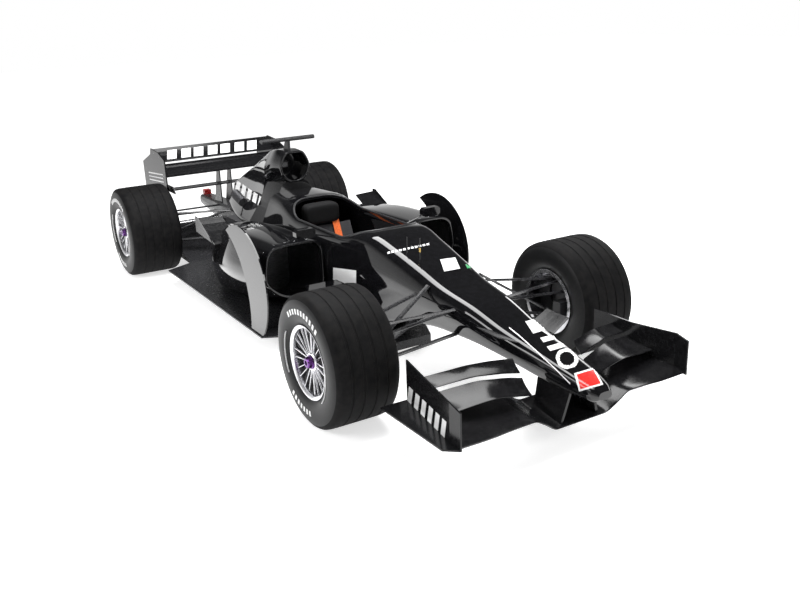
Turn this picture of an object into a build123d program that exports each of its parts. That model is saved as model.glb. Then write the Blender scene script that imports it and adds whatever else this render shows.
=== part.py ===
"""Open wheel racing car: single-seater with slick bodywork, wings and exposed suspension.

Millimetres. +X forward, +Y to the driver's left, +Z up. The origin is on the ground, under the
middle of the car's length and width.
"""
from build123d import *
from math import atan2, cos, degrees, pi, sin
import os

os.makedirs("parts", exist_ok=True)

# Driving dimensions of the whole car
wheelbase = 3140.0
front_overhang = 1032.0
rear_overhang = 600.0
overall_width = 1800.0
body_height = 1000.0

# Fits and walls
seat_gap = 0.3
running_gap = 0.05
shell_wall = 14.0

# Wheels and tyres
front_tyre_radius = 327.0
rear_tyre_radius = 330.0
front_tyre_width = 345.0
rear_tyre_width = 380.0
tyre_shoulder = 24.0
wheel_facets = 48
rim_inset = 14.0
rim_barrel_radius = 160.0
rim_seat_radius = 168.0
rim_flange_radius = 181.0
rim_flange = 8.0
hub_radius = 46.0
hub_depth = 70.0
hub_setback = 22.0
spoke_pairs = 10
spoke_width = 7.0
spoke_depth = 26.0
spoke_pair_spread = 9.0
axle_radius = 24.0
nut_radius = 30.0
nut_length = 26.0
nut_sides = 12

# Floor levels above the ground
plank_low = 35.0
plank_thickness = 10.0
step_level = 95.0
floor_sheet = 8.0

# Rear structure and wing
rear_wing_half = 500.0
rear_endplate_thickness = 10.0
starter_bore_radius = 15.0
starter_bore_length = 70.0

# Steering
steering_wheel_width = 270.0
steering_wheel_height = 170.0
steering_wheel_thickness = 30.0
column_radius = 14.0

# Places that follow from the driving dimensions
car_length = front_overhang + wheelbase + rear_overhang
front_axle_x = car_length / 2 - front_overhang
rear_axle_x = front_axle_x - wheelbase
half_width = overall_width / 2
reference_level = plank_low + plank_thickness
floor_top = step_level + floor_sheet


def at_x(share):
    """Station along the car, as a share of the wheelbase ahead of the front axle."""
    return front_axle_x + share * wheelbase


def at_y(share):
    """Place across the car, as a share of half its width."""
    return share * half_width


def at_z(share):
    """Height above the ground, as a share of the body's height."""
    return share * body_height


def cross_plane(x, y=0.0, z=0.0, side=1):
    """Plane across the car: its first direction points outboard on the given side, its second up."""
    return Plane(origin=(x, side * y, z), x_dir=(0, side, 0), z_dir=(side, 0, 0))


def side_plane(y):
    """Plane along the car at y: its first direction points forward, its second up."""
    return Plane(origin=(0, y, 0), x_dir=(1, 0, 0), z_dir=(0, -1, 0))


bevel_share = 0.6


def hull_section(x, low, waist, high, low_half, waist_half, high_half, corner, inset=0.0):
    """Six-sided section across the car with bevelled corners, symmetric about the middle."""
    with BuildSketch(cross_plane(x)) as section:
        with BuildLine():
            Polyline(
                (low_half - inset, low + inset),
                (waist_half - inset, waist),
                (high_half - inset, high - inset),
                (inset - high_half, high - inset),
                (inset - waist_half, waist),
                (inset - low_half, low + inset),
                close=True,
            )
        make_face()
        chamfer(section.vertices(), corner * bevel_share)
    return section.sketch


def hull_rows(shares, inset=0.0):
    """Sections of a hull from rows: x, low, waist, high, the three half widths, corner radius."""
    return [
        hull_section(at_x(x), at_z(low), at_z(waist), at_z(high), at_y(low_half), at_y(waist_half),
                     at_y(high_half), at_z(corner), inset)
        for x, low, waist, high, low_half, waist_half, high_half, corner in shares
    ]


def rod(start, end, width, height):
    """Streamlined rod of flat section, sharp in front and behind, between two points."""
    run = Vector(*end) - Vector(*start)
    across = Vector(0, 0, 1).cross(run)
    with BuildPart() as piece:
        with BuildSketch(Plane(origin=start, x_dir=across, z_dir=run)):
            with BuildLine():
                Polyline(
                    (width / 2, 0),
                    (width / 4, height / 2),
                    (-width / 4, height / 2),
                    (-width / 2, 0),
                    (-width / 4, -height / 2),
                    (width / 4, -height / 2),
                    close=True,
                )
            make_face()
        extrude(amount=run.length)
    return piece.part


def hull(shares, inset=0.0):
    """Body lofted through its rows with straight rulings, or a shape inset from it."""
    with BuildPart() as piece:
        loft(sections=hull_rows(shares, inset), ruled=True)
    return piece.part


# Nose cone: low drooped tip, flat top that widens towards the chassis
# Columns: station, low, waist and high levels, low, waist and high half widths, corner
nose_shares = [
    (0.3287, 0.288, 0.302, 0.322, 0.030, 0.044, 0.034, 0.010),
    (0.318, 0.272, 0.298, 0.336, 0.050, 0.068, 0.056, 0.016),
    (0.287, 0.268, 0.315, 0.361, 0.066, 0.088, 0.078, 0.020),
    (0.223, 0.282, 0.345, 0.402, 0.088, 0.118, 0.100, 0.024),
    (0.143, 0.312, 0.390, 0.452, 0.118, 0.152, 0.128, 0.028),
    (0.073, 0.322, 0.430, 0.508, 0.138, 0.180, 0.150, 0.032),
]
with BuildPart() as nose_cone:
    loft(sections=hull_rows(nose_shares), ruled=True)
nose_cone.part.label = "nose_cone"
export_step(nose_cone.part, "parts/nose_cone.step")

# Monocoque: carries on from the nose, dips under the driver's legs, opens as the cockpit
tub_shares = [
    (0.073, 0.322, 0.430, 0.508, 0.138, 0.180, 0.150, 0.032),
    (0.0, 0.318, 0.455, 0.548, 0.158, 0.205, 0.168, 0.036),
    (-0.064, 0.296, 0.480, 0.604, 0.180, 0.228, 0.184, 0.040),
    (-0.134, 0.240, 0.500, 0.662, 0.206, 0.252, 0.204, 0.044),
    (-0.194, 0.180, 0.505, 0.700, 0.226, 0.274, 0.226, 0.044),
    (-0.318, 0.096, 0.500, 0.662, 0.250, 0.306, 0.262, 0.044),
    (-0.440, 0.096, 0.500, 0.664, 0.262, 0.306, 0.262, 0.044),
    (-0.530, 0.096, 0.500, 0.716, 0.270, 0.306, 0.240, 0.044),
    (-0.610, 0.096, 0.500, 0.716, 0.280, 0.306, 0.200, 0.044),
]
column_start = (at_x(-0.170), 0.0, at_z(0.500))
bracket_width = 60.0
bracket_thickness = 12.0
bracket_high = at_z(0.674)
cockpit_front = at_x(-0.205)
cockpit_rear = at_x(-0.515)
cockpit_half = at_y(0.250)
cockpit_nose_half = at_y(0.150)
cockpit_low = at_z(0.36)
footwell_share = -0.03
bulkhead_share = -0.56
cavity_shares = [row for row in tub_shares if bulkhead_share < row[0] < footwell_share]
body_seat = Plane.XY.offset(floor_top + seat_gap)
with BuildPart() as monocoque:
    loft(sections=hull_rows(tub_shares), ruled=True)
    split(bisect_by=body_seat, keep=Keep.TOP)
    add(hull(cavity_shares, shell_wall), mode=Mode.SUBTRACT)
    with BuildSketch(Plane.XY.offset(cockpit_low)) as opening:
        with BuildLine():
            Polyline(
                (cockpit_front, cockpit_nose_half),
                (cockpit_front - cockpit_nose_half, cockpit_half),
                (cockpit_rear + cockpit_nose_half, cockpit_half),
                (cockpit_rear, cockpit_nose_half),
                (cockpit_rear, -cockpit_nose_half),
                (cockpit_rear + cockpit_nose_half, -cockpit_half),
                (cockpit_front - cockpit_nose_half, -cockpit_half),
                (cockpit_front, -cockpit_nose_half),
                close=True,
            )
        make_face()
        chamfer(opening.vertices(), cockpit_nose_half / 4)
    extrude(amount=body_height, mode=Mode.SUBTRACT)
    with BuildSketch(Plane(origin=(column_start[0] + seat_gap, 0, 0), x_dir=(0, 1, 0), z_dir=(1, 0, 0))):
        with Locations((0, (column_start[2] - bracket_width / 2 + bracket_high) / 2)):
            Rectangle(bracket_width, bracket_high - column_start[2] + bracket_width / 2)
    extrude(amount=bracket_thickness)
monocoque.part.label = "monocoque"
export_step(monocoque.part, "parts/monocoque.step")

# Clearance shapes: what is carried by a hull or sits in the cabin is cut off a seat gap from it
tub_clearance = hull(tub_shares, -seat_gap)
nose_clearance = hull(nose_shares, -seat_gap)
cabin_clearance = hull(cavity_shares, shell_wall + seat_gap)

# Seat shell and the head surround behind it
seat_width = 400.0
seat_thickness = 24.0
seat_base_shares = [(-0.300, 0.150), (-0.440, 0.110), (-0.500, 0.560)]
with BuildPart() as seat:
    with BuildSketch(side_plane(seat_width / 2)):
        with BuildLine():
            seat_front, seat_hip, seat_top = [(at_x(x), at_z(z)) for x, z in seat_base_shares]
            Polyline(
                seat_front,
                seat_hip,
                seat_top,
                (seat_top[0] + seat_thickness, seat_top[1]),
                (seat_hip[0] + seat_thickness, seat_hip[1] + seat_thickness),
                (seat_front[0], seat_front[1] + seat_thickness),
                close=True,
            )
        make_face()
    extrude(amount=seat_width)
    add(cabin_clearance, mode=Mode.INTERSECT)
seat.part.label = "seat"
export_step(seat.part, "parts/seat.step")

headrest_width = 240.0
headrest_length = 110.0
headrest_height = 130.0
headrest_low = at_z(0.565)
with BuildPart() as headrest:
    with Locations((cockpit_rear + headrest_length / 2 + seat_gap, 0, headrest_low)):
        Box(headrest_length, headrest_width, headrest_height, align=(Align.CENTER, Align.CENTER, Align.MIN))
    chamfer(headrest.edges().filter_by(Axis.Z), headrest_length / 4)
headrest.part.label = "headrest"
export_step(headrest.part, "parts/headrest.step")

# Steering wheel on its column, raked towards the driver
wheel_centre = (at_x(-0.262), 0.0, at_z(0.560))
column_run = Vector(*wheel_centre) - Vector(*column_start)
# The column's end is square to it, so that it can turn beside the upright face of its bracket
column_setback = column_radius * abs(column_run.Z / column_run.X)
column_end = Vector(*column_start) + column_run.normalized() * column_setback
with BuildPart() as steering_wheel:
    with BuildSketch(Plane(origin=wheel_centre, x_dir=(0, 1, 0), z_dir=column_run)):
        RectangleRounded(steering_wheel_width, steering_wheel_height, steering_wheel_height / 4)
    extrude(amount=steering_wheel_thickness)
    with BuildSketch(Plane(origin=column_end, x_dir=(0, 1, 0), z_dir=column_run)):
        Circle(column_radius)
    extrude(amount=column_run.length - column_setback + steering_wheel_thickness / 2)
steering_wheel.part.label = "steering_wheel"
export_step(steering_wheel.part, "parts/steering_wheel.step")

# Front wing: main plane with a dropped middle, flaps, endplates with footplates, pylons
# Profile of every wing: place along the chord, bend of the middle line, half thickness
profile_shares = [
    (0.0, 0.0, 0.16),
    (0.07, 0.24, 0.36),
    (0.25, 0.70, 0.48),
    (0.50, 1.0, 0.46),
    (0.78, 0.70, 0.28),
    (1.0, 0.0, 0.08),
]


def wing_section(y, lead_x, lead_z, trail_x, trail_z, thickness, camber):
    """Cambered profile along the car at y, round in front and thin behind."""
    lead, trail = Vector(lead_x, lead_z), Vector(trail_x, trail_z)
    across = Vector(trail_z - lead_z, lead_x - trail_x).normalized()
    upper = [
        lead + (trail - lead) * along + across * (thickness * half - camber * bend)
        for along, bend, half in profile_shares
    ]
    lower = [
        lead + (trail - lead) * along - across * (thickness * half + camber * bend)
        for along, bend, half in profile_shares
    ]
    with BuildSketch(side_plane(y)) as section:
        with BuildLine():
            Polyline(upper + lower[::-1], close=True)
        make_face()
    return section.sketch


def wing_rows(shares, side=1):
    """Profiles of a wing from rows: y, leading x and z, trailing x and z, thickness, camber."""
    return [
        wing_section(side * at_y(y), at_x(lead_x), at_z(lead_z), at_x(trail_x), at_z(trail_z),
                     at_z(thickness), at_z(camber))
        for y, lead_x, lead_z, trail_x, trail_z, thickness, camber in shares
    ]


endplate_thickness = 8.0
endplate_low = at_z(0.186)
# Outer face of the endplate in plan, from the front: station, place across the car
plate_plan_shares = [(0.287, 0.727), (0.2634, 0.728), (0.189, 0.672), (0.117, 0.634)]
# Top edge of the endplate: station, level
plate_top_shares = [(0.287, 0.356), (0.2634, 0.375), (0.189, 0.372), (0.117, 0.388)]
plate_front, plate_rear = plate_plan_shares[0][0], plate_plan_shares[-1][0]
footplate_share = 0.790
footplate_nose_share = 0.016
inner_face = [(at_x(x), at_y(y) - endplate_thickness - seat_gap) for x, y in plate_plan_shares]
wing_reach_share = 0.020
with BuildPart() as between_plates:
    with BuildSketch(Plane.XY):
        with BuildLine():
            ahead = (at_x(plate_front + wing_reach_share), inner_face[0][1])
            behind = (at_x(plate_rear - wing_reach_share), inner_face[-1][1])
            left_face = [ahead] + inner_face + [behind]
            Polyline(left_face + [(x, -y) for x, y in reversed(left_face)], close=True)
        make_face()
    extrude(amount=body_height)

def wing_clearance(shares, side):
    """Wing lofted from rows, thickened all round by a seat gap."""
    with BuildPart() as wing:
        loft(sections=[
            wing_section(side * at_y(y), at_x(lead_x), at_z(lead_z), at_x(trail_x), at_z(trail_z),
                         at_z(thickness) + 2 * seat_gap / profile_shares[2][2], at_z(camber))
            for y, lead_x, lead_z, trail_x, trail_z, thickness, camber in shares
        ], ruled=True)
    return wing.part


main_plane_shares = [
    (0.0, 0.286, 0.134, 0.205, 0.180, 0.020, 0.012),
    (0.150, 0.286, 0.134, 0.205, 0.180, 0.020, 0.012),
    (0.230, 0.290, 0.178, 0.203, 0.212, 0.020, 0.012),
    (0.310, 0.290, 0.212, 0.200, 0.232, 0.020, 0.012),
    (0.430, 0.288, 0.206, 0.197, 0.234, 0.020, 0.012),
    (0.560, 0.286, 0.196, 0.195, 0.232, 0.020, 0.012),
    (0.740, 0.286, 0.198, 0.195, 0.236, 0.020, 0.012),
]
with BuildPart() as front_wing_main:
    for side in (1, -1):
        loft(sections=wing_rows(main_plane_shares, side), ruled=True)
    add(between_plates.part, mode=Mode.INTERSECT)
front_wing_main.part.label = "front_wing_main"
export_step(front_wing_main.part, "parts/front_wing_main.step")

# Two flaps in cascade over the main plane: the leading edge rises and falls across the span
flap_table_shares = [
    [
        (0.200, 0.246, 0.256, 0.224, 0.318, 0.014, 0.010),
        (0.300, 0.246, 0.276, 0.216, 0.330, 0.014, 0.010),
        (0.400, 0.243, 0.288, 0.206, 0.332, 0.014, 0.010),
        (0.500, 0.236, 0.276, 0.192, 0.314, 0.014, 0.010),
        (0.600, 0.230, 0.262, 0.182, 0.298, 0.014, 0.010),
        (0.740, 0.226, 0.256, 0.178, 0.292, 0.014, 0.010),
    ],
    [
        (0.200, 0.220, 0.334, 0.203, 0.388, 0.011, 0.007),
        (0.300, 0.212, 0.345, 0.194, 0.390, 0.011, 0.007),
        (0.400, 0.202, 0.347, 0.182, 0.382, 0.011, 0.007),
        (0.500, 0.188, 0.329, 0.164, 0.356, 0.011, 0.007),
        (0.600, 0.178, 0.313, 0.152, 0.338, 0.011, 0.007),
        (0.740, 0.174, 0.307, 0.148, 0.332, 0.011, 0.007),
    ],
]
with BuildPart() as front_wing_flaps:
    for flap_shares in flap_table_shares:
        for side in (1, -1):
            loft(sections=wing_rows(flap_shares, side), ruled=True)
    add(between_plates.part, mode=Mode.INTERSECT)
front_wing_flaps.part.label = "front_wing_flaps"
export_step(front_wing_flaps.part, "parts/front_wing_flaps.step")

with BuildPart() as front_wing_endplates:
    for side in (1, -1):
        outer_face = [(at_x(x), side * at_y(y)) for x, y in plate_plan_shares]
        hidden_face = [(x, y - side * endplate_thickness) for x, y in reversed(outer_face)]
        foot_edge = [
            (at_x(plate_rear), side * at_y(footplate_share)),
            (at_x(plate_front - footplate_nose_share), side * at_y(footplate_share)),
        ]
        with BuildSketch(Plane.XY.offset(endplate_low)):
            with BuildLine():
                Polyline(outer_face + hidden_face, close=True)
            make_face()
        extrude(amount=body_height)
        with BuildSketch(Plane.XY.offset(endplate_low)):
            with BuildLine():
                Polyline(outer_face + foot_edge, close=True)
            make_face()
        extrude(amount=endplate_thickness)
    with BuildSketch(side_plane(half_width)):
        with BuildLine():
            top_edge = [(at_x(x), at_z(z)) for x, z in plate_top_shares]
            Polyline(top_edge + [(at_x(plate_rear), 0), (at_x(plate_front), 0)], close=True)
        make_face()
    extrude(amount=overall_width, mode=Mode.INTERSECT)
front_wing_endplates.part.label = "front_wing_endplates"
export_step(front_wing_endplates.part, "parts/front_wing_endplates.step")

# Pylons that hang the wing from the nose, leaning in to its underside
pylon_thickness = 14.0
# Columns: level, front station, rear station, place across the car
pylon_shares = [(0.130, 0.280, 0.222, 0.118), (0.310, 0.284, 0.215, 0.062)]
with BuildPart() as pylon_blanks:
    for side in (1, -1):
        pylon_ends = []
        for z, front, rear, y in pylon_shares:
            with BuildSketch(Plane.XY.offset(at_z(z))) as pylon_end:
                with Locations(((at_x(front) + at_x(rear)) / 2, side * at_y(y))):
                    Rectangle(at_x(front) - at_x(rear), pylon_thickness)
            pylon_ends.append(pylon_end.sketch)
        loft(sections=pylon_ends, ruled=True)
        add(wing_clearance(main_plane_shares, side), mode=Mode.SUBTRACT)
    add(nose_clearance, mode=Mode.SUBTRACT)
with BuildPart() as wing_pylons:
    add(pylon_blanks.solids().sort_by(SortBy.VOLUME)[-2:])
wing_pylons.part.label = "wing_pylons"
export_step(wing_pylons.part, "parts/wing_pylons.step")

# Floor: raised side sheets, central tray on the reference plane, plank under it
floor_front_share = -0.320
floor_step_share = -0.250
floor_root_share = 0.290
floor_tail_share = 0.540
floor_rear_share = -0.862
floor_outer_share = 0.778
tray_front_share = -0.153
tray_half = 250.0
tray_nose_half = 120.0
diffuser_start_share = -0.895
diffuser_half = 495.0
with BuildPart() as floor:
    with BuildSketch(Plane.XY.offset(step_level)):
        with BuildLine():
            outline_shares = [
                (floor_step_share, floor_root_share),
                (floor_front_share, floor_outer_share),
                (floor_rear_share, floor_outer_share),
                (diffuser_start_share, floor_tail_share),
            ]
            left_edge = [(at_x(x), at_y(y)) for x, y in outline_shares]
            right_edge = [(x, -y) for x, y in reversed(left_edge)]
            Polyline(left_edge + right_edge, close=True)
        make_face()
    extrude(amount=floor_sheet)
    with BuildSketch(Plane.XY.offset(reference_level)) as tray:
        with BuildLine():
            Polyline(
                (at_x(tray_front_share), tray_nose_half),
                (at_x(floor_step_share), tray_half),
                (at_x(diffuser_start_share), tray_half),
                (at_x(diffuser_start_share), -tray_half),
                (at_x(floor_step_share), -tray_half),
                (at_x(tray_front_share), -tray_nose_half),
                close=True,
            )
        make_face()
    extrude(amount=step_level - reference_level)
floor.part.label = "floor"
export_step(floor.part, "parts/floor.step")

plank_half = 150.0
with BuildPart() as plank:
    with BuildSketch(Plane.XY.offset(plank_low)):
        with BuildLine():
            Polyline(
                (at_x(tray_front_share) - plank_half / 2, plank_half / 2),
                (at_x(tray_front_share) - plank_half, plank_half),
                (at_x(diffuser_start_share), plank_half),
                (at_x(diffuser_start_share), -plank_half),
                (at_x(tray_front_share) - plank_half, -plank_half),
                (at_x(tray_front_share) - plank_half / 2, -plank_half / 2),
                close=True,
            )
        make_face()
    extrude(amount=plank_thickness)
plank.part.label = "plank"
export_step(plank.part, "parts/plank.step")

diffuser_sheet = 8.0
diffuser_fence = 6.0
diffuser_rise_shares = [(-0.895, 0.095), (-1.0, 0.160), (-1.111, 0.262)]
with BuildPart() as diffuser:
    with BuildSketch(side_plane(diffuser_half)):
        with BuildLine():
            start, middle, end = [(at_x(x), at_z(z)) for x, z in diffuser_rise_shares]
            ThreePointArc(start, middle, end)
            Line(end, (end[0], end[1] + diffuser_sheet))
            ThreePointArc(
                (end[0], end[1] + diffuser_sheet),
                (middle[0], middle[1] + diffuser_sheet),
                (start[0], start[1] + diffuser_sheet),
            )
            Line((start[0], start[1] + diffuser_sheet), start)
        make_face()
    extrude(amount=2 * diffuser_half)
    for y_share in (1.0, 0.36, -0.36, -1.0):
        fence_y = y_share * (diffuser_half - diffuser_fence / 2) + diffuser_fence / 2
        with BuildSketch(side_plane(fence_y)):
            with BuildLine():
                ThreePointArc(
                    (start[0], start[1] + diffuser_sheet / 2),
                    (middle[0], middle[1] + diffuser_sheet / 2),
                    (end[0], end[1] + diffuser_sheet / 2),
                )
                Polyline(
                    (end[0], end[1] + diffuser_sheet / 2),
                    (end[0], step_level + diffuser_sheet),
                    (start[0], step_level - diffuser_sheet),
                    (start[0], start[1] + diffuser_sheet / 2),
                )
            make_face()
        extrude(amount=diffuser_fence)
diffuser.part.label = "diffuser"
export_step(diffuser.part, "parts/diffuser.step")

# Sidepods: hollow ducts beside the tub, undercut below, narrowing to the rear
# Columns: station, low, waist and high levels, low, waist and high outer places
pod_shares = [
    (-0.318, 0.300, 0.430, 0.617, 0.600, 0.722, 0.690),
    (-0.462, 0.200, 0.400, 0.606, 0.640, 0.766, 0.700),
    (-0.605, 0.125, 0.330, 0.560, 0.640, 0.700, 0.610),
    (-0.732, 0.096, 0.280, 0.470, 0.500, 0.550, 0.450),
    (-0.828, 0.096, 0.240, 0.380, 0.385, 0.420, 0.370),
]
pod_inner_share = 0.306
pod_corner = 46.0
pod_bevel_share = 0.8


def pod_section(x, low, waist, high, low_outer, waist_outer, high_outer, side, inset=0.0):
    """Section of a sidepod: flat against the tub, bevelled outboard."""
    inner = at_y(pod_inner_share) + seat_gap + inset
    with BuildSketch(cross_plane(at_x(x), side=side)) as section:
        with BuildLine():
            Polyline(
                (inner, at_z(low) + inset),
                (at_y(low_outer) - inset, at_z(low) + inset),
                (at_y(waist_outer) - inset, at_z(waist)),
                (at_y(high_outer) - inset, at_z(high) - inset),
                (inner, at_z(high) - inset),
                close=True,
            )
        make_face()
        outboard = section.vertices().sort_by(Axis.X)[2:]
        chamfer(outboard, (pod_corner - inset) * pod_bevel_share)
    return section.sketch


def pod_hull(shares, side, inset=0.0):
    """Sidepod lofted through its rows with straight rulings, or a shape inset from it."""
    with BuildPart() as piece:
        loft(sections=[pod_section(*row, side, inset) for row in shares], ruled=True)
    return piece.part


for side, name in ((1, "sidepod_left"), (-1, "sidepod_right")):
    with BuildPart() as sidepod:
        loft(sections=[pod_section(*row, side) for row in pod_shares], ruled=True)
        split(bisect_by=body_seat, keep=Keep.TOP)
        add(pod_hull(pod_shares[:-1], side, shell_wall), mode=Mode.SUBTRACT)
    sidepod.part.label = name
    export_step(sidepod.part, f"parts/{name}.step")

# Radiators inside the sidepods
radiator_thickness = 70.0
radiator_front_share = -0.468
with BuildPart() as radiators:
    for side in (1, -1):
        add(pod_hull(pod_shares[:-1], side, shell_wall + seat_gap))
    split(bisect_by=Plane.YZ.offset(at_x(radiator_front_share)), keep=Keep.BOTTOM)
    split(bisect_by=Plane.YZ.offset(at_x(radiator_front_share) - radiator_thickness), keep=Keep.TOP)
radiators.part.label = "radiators"
export_step(radiators.part, "parts/radiators.step")

# Engine block, one plain mass between the bulkhead and the gearbox
engine_rear_share = -0.815
cover_low_share = 0.470
engine_front = at_x(tub_shares[-1][0]) - seat_gap
engine_rear = at_x(engine_rear_share)
engine_half = at_y(pod_inner_share)
engine_low = floor_top + seat_gap
engine_high = at_z(cover_low_share) - seat_gap
with BuildPart() as engine_block:
    with BuildSketch(Plane.XY.offset(engine_low)):
        with Locations(((engine_front + engine_rear) / 2, 0)):
            Rectangle(engine_front - engine_rear, 2 * engine_half)
    extrude(amount=engine_high - engine_low)
engine_block.part.label = "engine_block"
export_step(engine_block.part, "parts/engine_block.step")

# Airbox over the driver's head, hollow at its mouth, and the engine cover behind it
airbox_shares = [
    (-0.606, 0.780, 0.880, 0.984, 0.070, 0.134, 0.080, 0.040),
    (-0.640, 0.760, 0.880, 0.990, 0.090, 0.140, 0.080, 0.040),
    (-0.690, 0.716, 0.850, 0.968, 0.110, 0.130, 0.060, 0.036),
]
with BuildPart() as airbox:
    loft(sections=hull_rows(airbox_shares), ruled=True)
    add(hull(airbox_shares[:2], shell_wall), mode=Mode.SUBTRACT)
airbox.part.label = "airbox"
export_step(airbox.part, "parts/airbox.step")

cover_shares = [
    (-0.690, cover_low_share, 0.620, 0.968, 0.306, 0.172, 0.060, 0.030),
    (-0.770, cover_low_share, 0.580, 0.858, 0.270, 0.130, 0.044, 0.026),
    (-0.860, cover_low_share, 0.550, 0.742, 0.190, 0.090, 0.030, 0.018),
    (-0.955, cover_low_share, 0.520, 0.618, 0.090, 0.054, 0.020, 0.012),
]
with BuildPart() as engine_cover:
    loft(sections=hull_rows(cover_shares), ruled=True)
engine_cover.part.label = "engine_cover"
export_step(engine_cover.part, "parts/engine_cover.step")

# Roll hoop between the tub and the airbox, with the engine cover's shoulders
hoop_shares = [
    (-0.610, cover_low_share, 0.620, 0.790, 0.306, 0.200, 0.090, 0.030),
    (-0.690, cover_low_share, 0.620, 0.790, 0.306, 0.184, 0.100, 0.030),
]
with BuildPart() as roll_hoop:
    loft(sections=hull_rows(hoop_shares), ruled=True)
    add(hull(airbox_shares), mode=Mode.SUBTRACT)
roll_hoop.part.label = "roll_hoop"
export_step(roll_hoop.part, "parts/roll_hoop.step")

# Camera pod: a short wing on a post above the airbox
camera_pod_half = 190.0
camera_pod_rows_share = (-0.626, 1.057, -0.644, 1.057)
camera_pod_thickness = 28.0
camera_post_thickness = 20.0
camera_post_shares = [(-0.629, 0.985), (-0.628, 1.048), (-0.640, 1.048), (-0.652, 0.985)]
with BuildPart() as camera_pod:
    lead_x, lead_z, trail_x, trail_z = camera_pod_rows_share
    extrude(wing_section(camera_pod_half, at_x(lead_x), at_z(lead_z), at_x(trail_x), at_z(trail_z),
                         camera_pod_thickness, 0.0), amount=2 * camera_pod_half)
    with BuildSketch(side_plane(camera_post_thickness / 2)):
        with BuildLine():
            Polyline([(at_x(x), at_z(z)) for x, z in camera_post_shares], close=True)
        make_face()
    extrude(amount=camera_post_thickness)
    add(hull(airbox_shares, -seat_gap), mode=Mode.SUBTRACT)
camera_pod.part.label = "camera_pod"
export_step(camera_pod.part, "parts/camera_pod.step")

# Gearbox with the crash structure behind it and the starter bore in its end
gearbox_shares = [
    (-0.8151, 0.096, 0.280, 0.460, 0.150, 0.170, 0.130, 0.024),
    (-0.930, 0.150, 0.300, 0.440, 0.110, 0.130, 0.100, 0.024),
    (-1.0, 0.205, 0.310, 0.430, 0.100, 0.120, 0.090, 0.024),
    (-1.083, 0.290, 0.350, 0.420, 0.070, 0.084, 0.070, 0.020),
    (-1.1911, 0.330, 0.370, 0.410, 0.056, 0.066, 0.056, 0.018),
]
starter_level = at_z(0.370)
gearbox_clearance = hull(gearbox_shares, -seat_gap)
with BuildPart() as gearbox:
    loft(sections=hull_rows(gearbox_shares), ruled=True)
    split(bisect_by=body_seat, keep=Keep.TOP)
    with BuildSketch(Plane(origin=(at_x(gearbox_shares[-1][0]), 0, starter_level), x_dir=(0, 1, 0),
                           z_dir=(1, 0, 0))):
        Circle(starter_bore_radius)
    extrude(amount=starter_bore_length, mode=Mode.SUBTRACT)
gearbox.part.label = "gearbox"
export_step(gearbox.part, "parts/gearbox.step")

# Rear wing: main plane and flap between endplates, lower wing, centre pylons
# Columns: leading station and level, trailing station and level, thickness, camber
rear_main_share = (-1.019, 0.690, -1.075, 0.760, 0.026, 0.022)
rear_flap_share = (-1.070, 0.780, -1.113, 0.870, 0.018, 0.014)
rear_span = rear_wing_half - rear_endplate_thickness - seat_gap


def straight_wing(share, half_span):
    """Wing of one profile along its whole span."""
    lead_x, lead_z, trail_x, trail_z, thickness, camber = share
    with BuildPart() as wing:
        extrude(wing_section(half_span, at_x(lead_x), at_z(lead_z), at_x(trail_x), at_z(trail_z),
                             at_z(thickness), at_z(camber)), amount=2 * half_span)
    return wing


rear_wing_main = straight_wing(rear_main_share, rear_span)
rear_wing_main.part.label = "rear_wing_main"
export_step(rear_wing_main.part, "parts/rear_wing_main.step")

rear_wing_flap = straight_wing(rear_flap_share, rear_span)
rear_wing_flap.part.label = "rear_wing_flap"
export_step(rear_wing_flap.part, "parts/rear_wing_flap.step")

rear_endplate_shares = [
    (-1.008, 0.586),
    (-1.010, 0.821),
    (-1.054, 0.864),
    (-1.113, 0.878),
    (-1.120, 0.830),
    (-1.191, 0.751),
    (-1.191, 0.532),
    (-1.191, 0.330),
    (-1.060, 0.330),
]
with BuildPart() as rear_wing_endplates:
    for side in (1, -1):
        outer = side * rear_wing_half
        with BuildSketch(side_plane(outer)):
            with BuildLine():
                Polyline([(at_x(x), at_z(z)) for x, z in rear_endplate_shares], close=True)
            make_face()
        extrude(amount=side * rear_endplate_thickness)
rear_wing_endplates.part.label = "rear_wing_endplates"
export_step(rear_wing_endplates.part, "parts/rear_wing_endplates.step")

rear_pylon_y = 46.0
pylon_cut_share = 0.2
rear_pylon_thickness = 10.0
rear_pylon_shares = [(-1.030, 0.400), (-1.030, 0.690), (-1.045, 0.706), (-1.080, 0.400)]
with BuildPart() as rear_wing_pylons:
    for side in (1, -1):
        with BuildSketch(side_plane(side * rear_pylon_y + rear_pylon_thickness / 2)):
            with BuildLine():
                Polyline([(at_x(x), at_z(z)) for x, z in rear_pylon_shares], close=True)
            make_face()
        extrude(amount=rear_pylon_thickness)
    add(wing_clearance([(y,) + rear_main_share for y in (-pylon_cut_share, pylon_cut_share)], 1),
        mode=Mode.SUBTRACT)
    add(gearbox_clearance, mode=Mode.SUBTRACT)
rear_wing_pylons.part.label = "rear_wing_pylons"
export_step(rear_wing_pylons.part, "parts/rear_wing_pylons.step")

# Wheels: rim with paired spokes, tyre, and the brake disc that turns with them
wheel_rows = [
    ("front_left", 1, front_axle_x, front_tyre_radius, front_tyre_width),
    ("front_right", -1, front_axle_x, front_tyre_radius, front_tyre_width),
    ("rear_left", 1, rear_axle_x, rear_tyre_radius, rear_tyre_width),
    ("rear_right", -1, rear_axle_x, rear_tyre_radius, rear_tyre_width),
]
tyre_wall_share = 0.70


def wheel_plane(place, y):
    """Plane across a wheel's axle at y, facing outboard; place is the axle's x, z and side."""
    axle_x, axle_z, side = place
    return Plane(origin=(axle_x, side * y, axle_z), x_dir=(1, 0, 0), z_dir=(0, side, 0))


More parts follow.
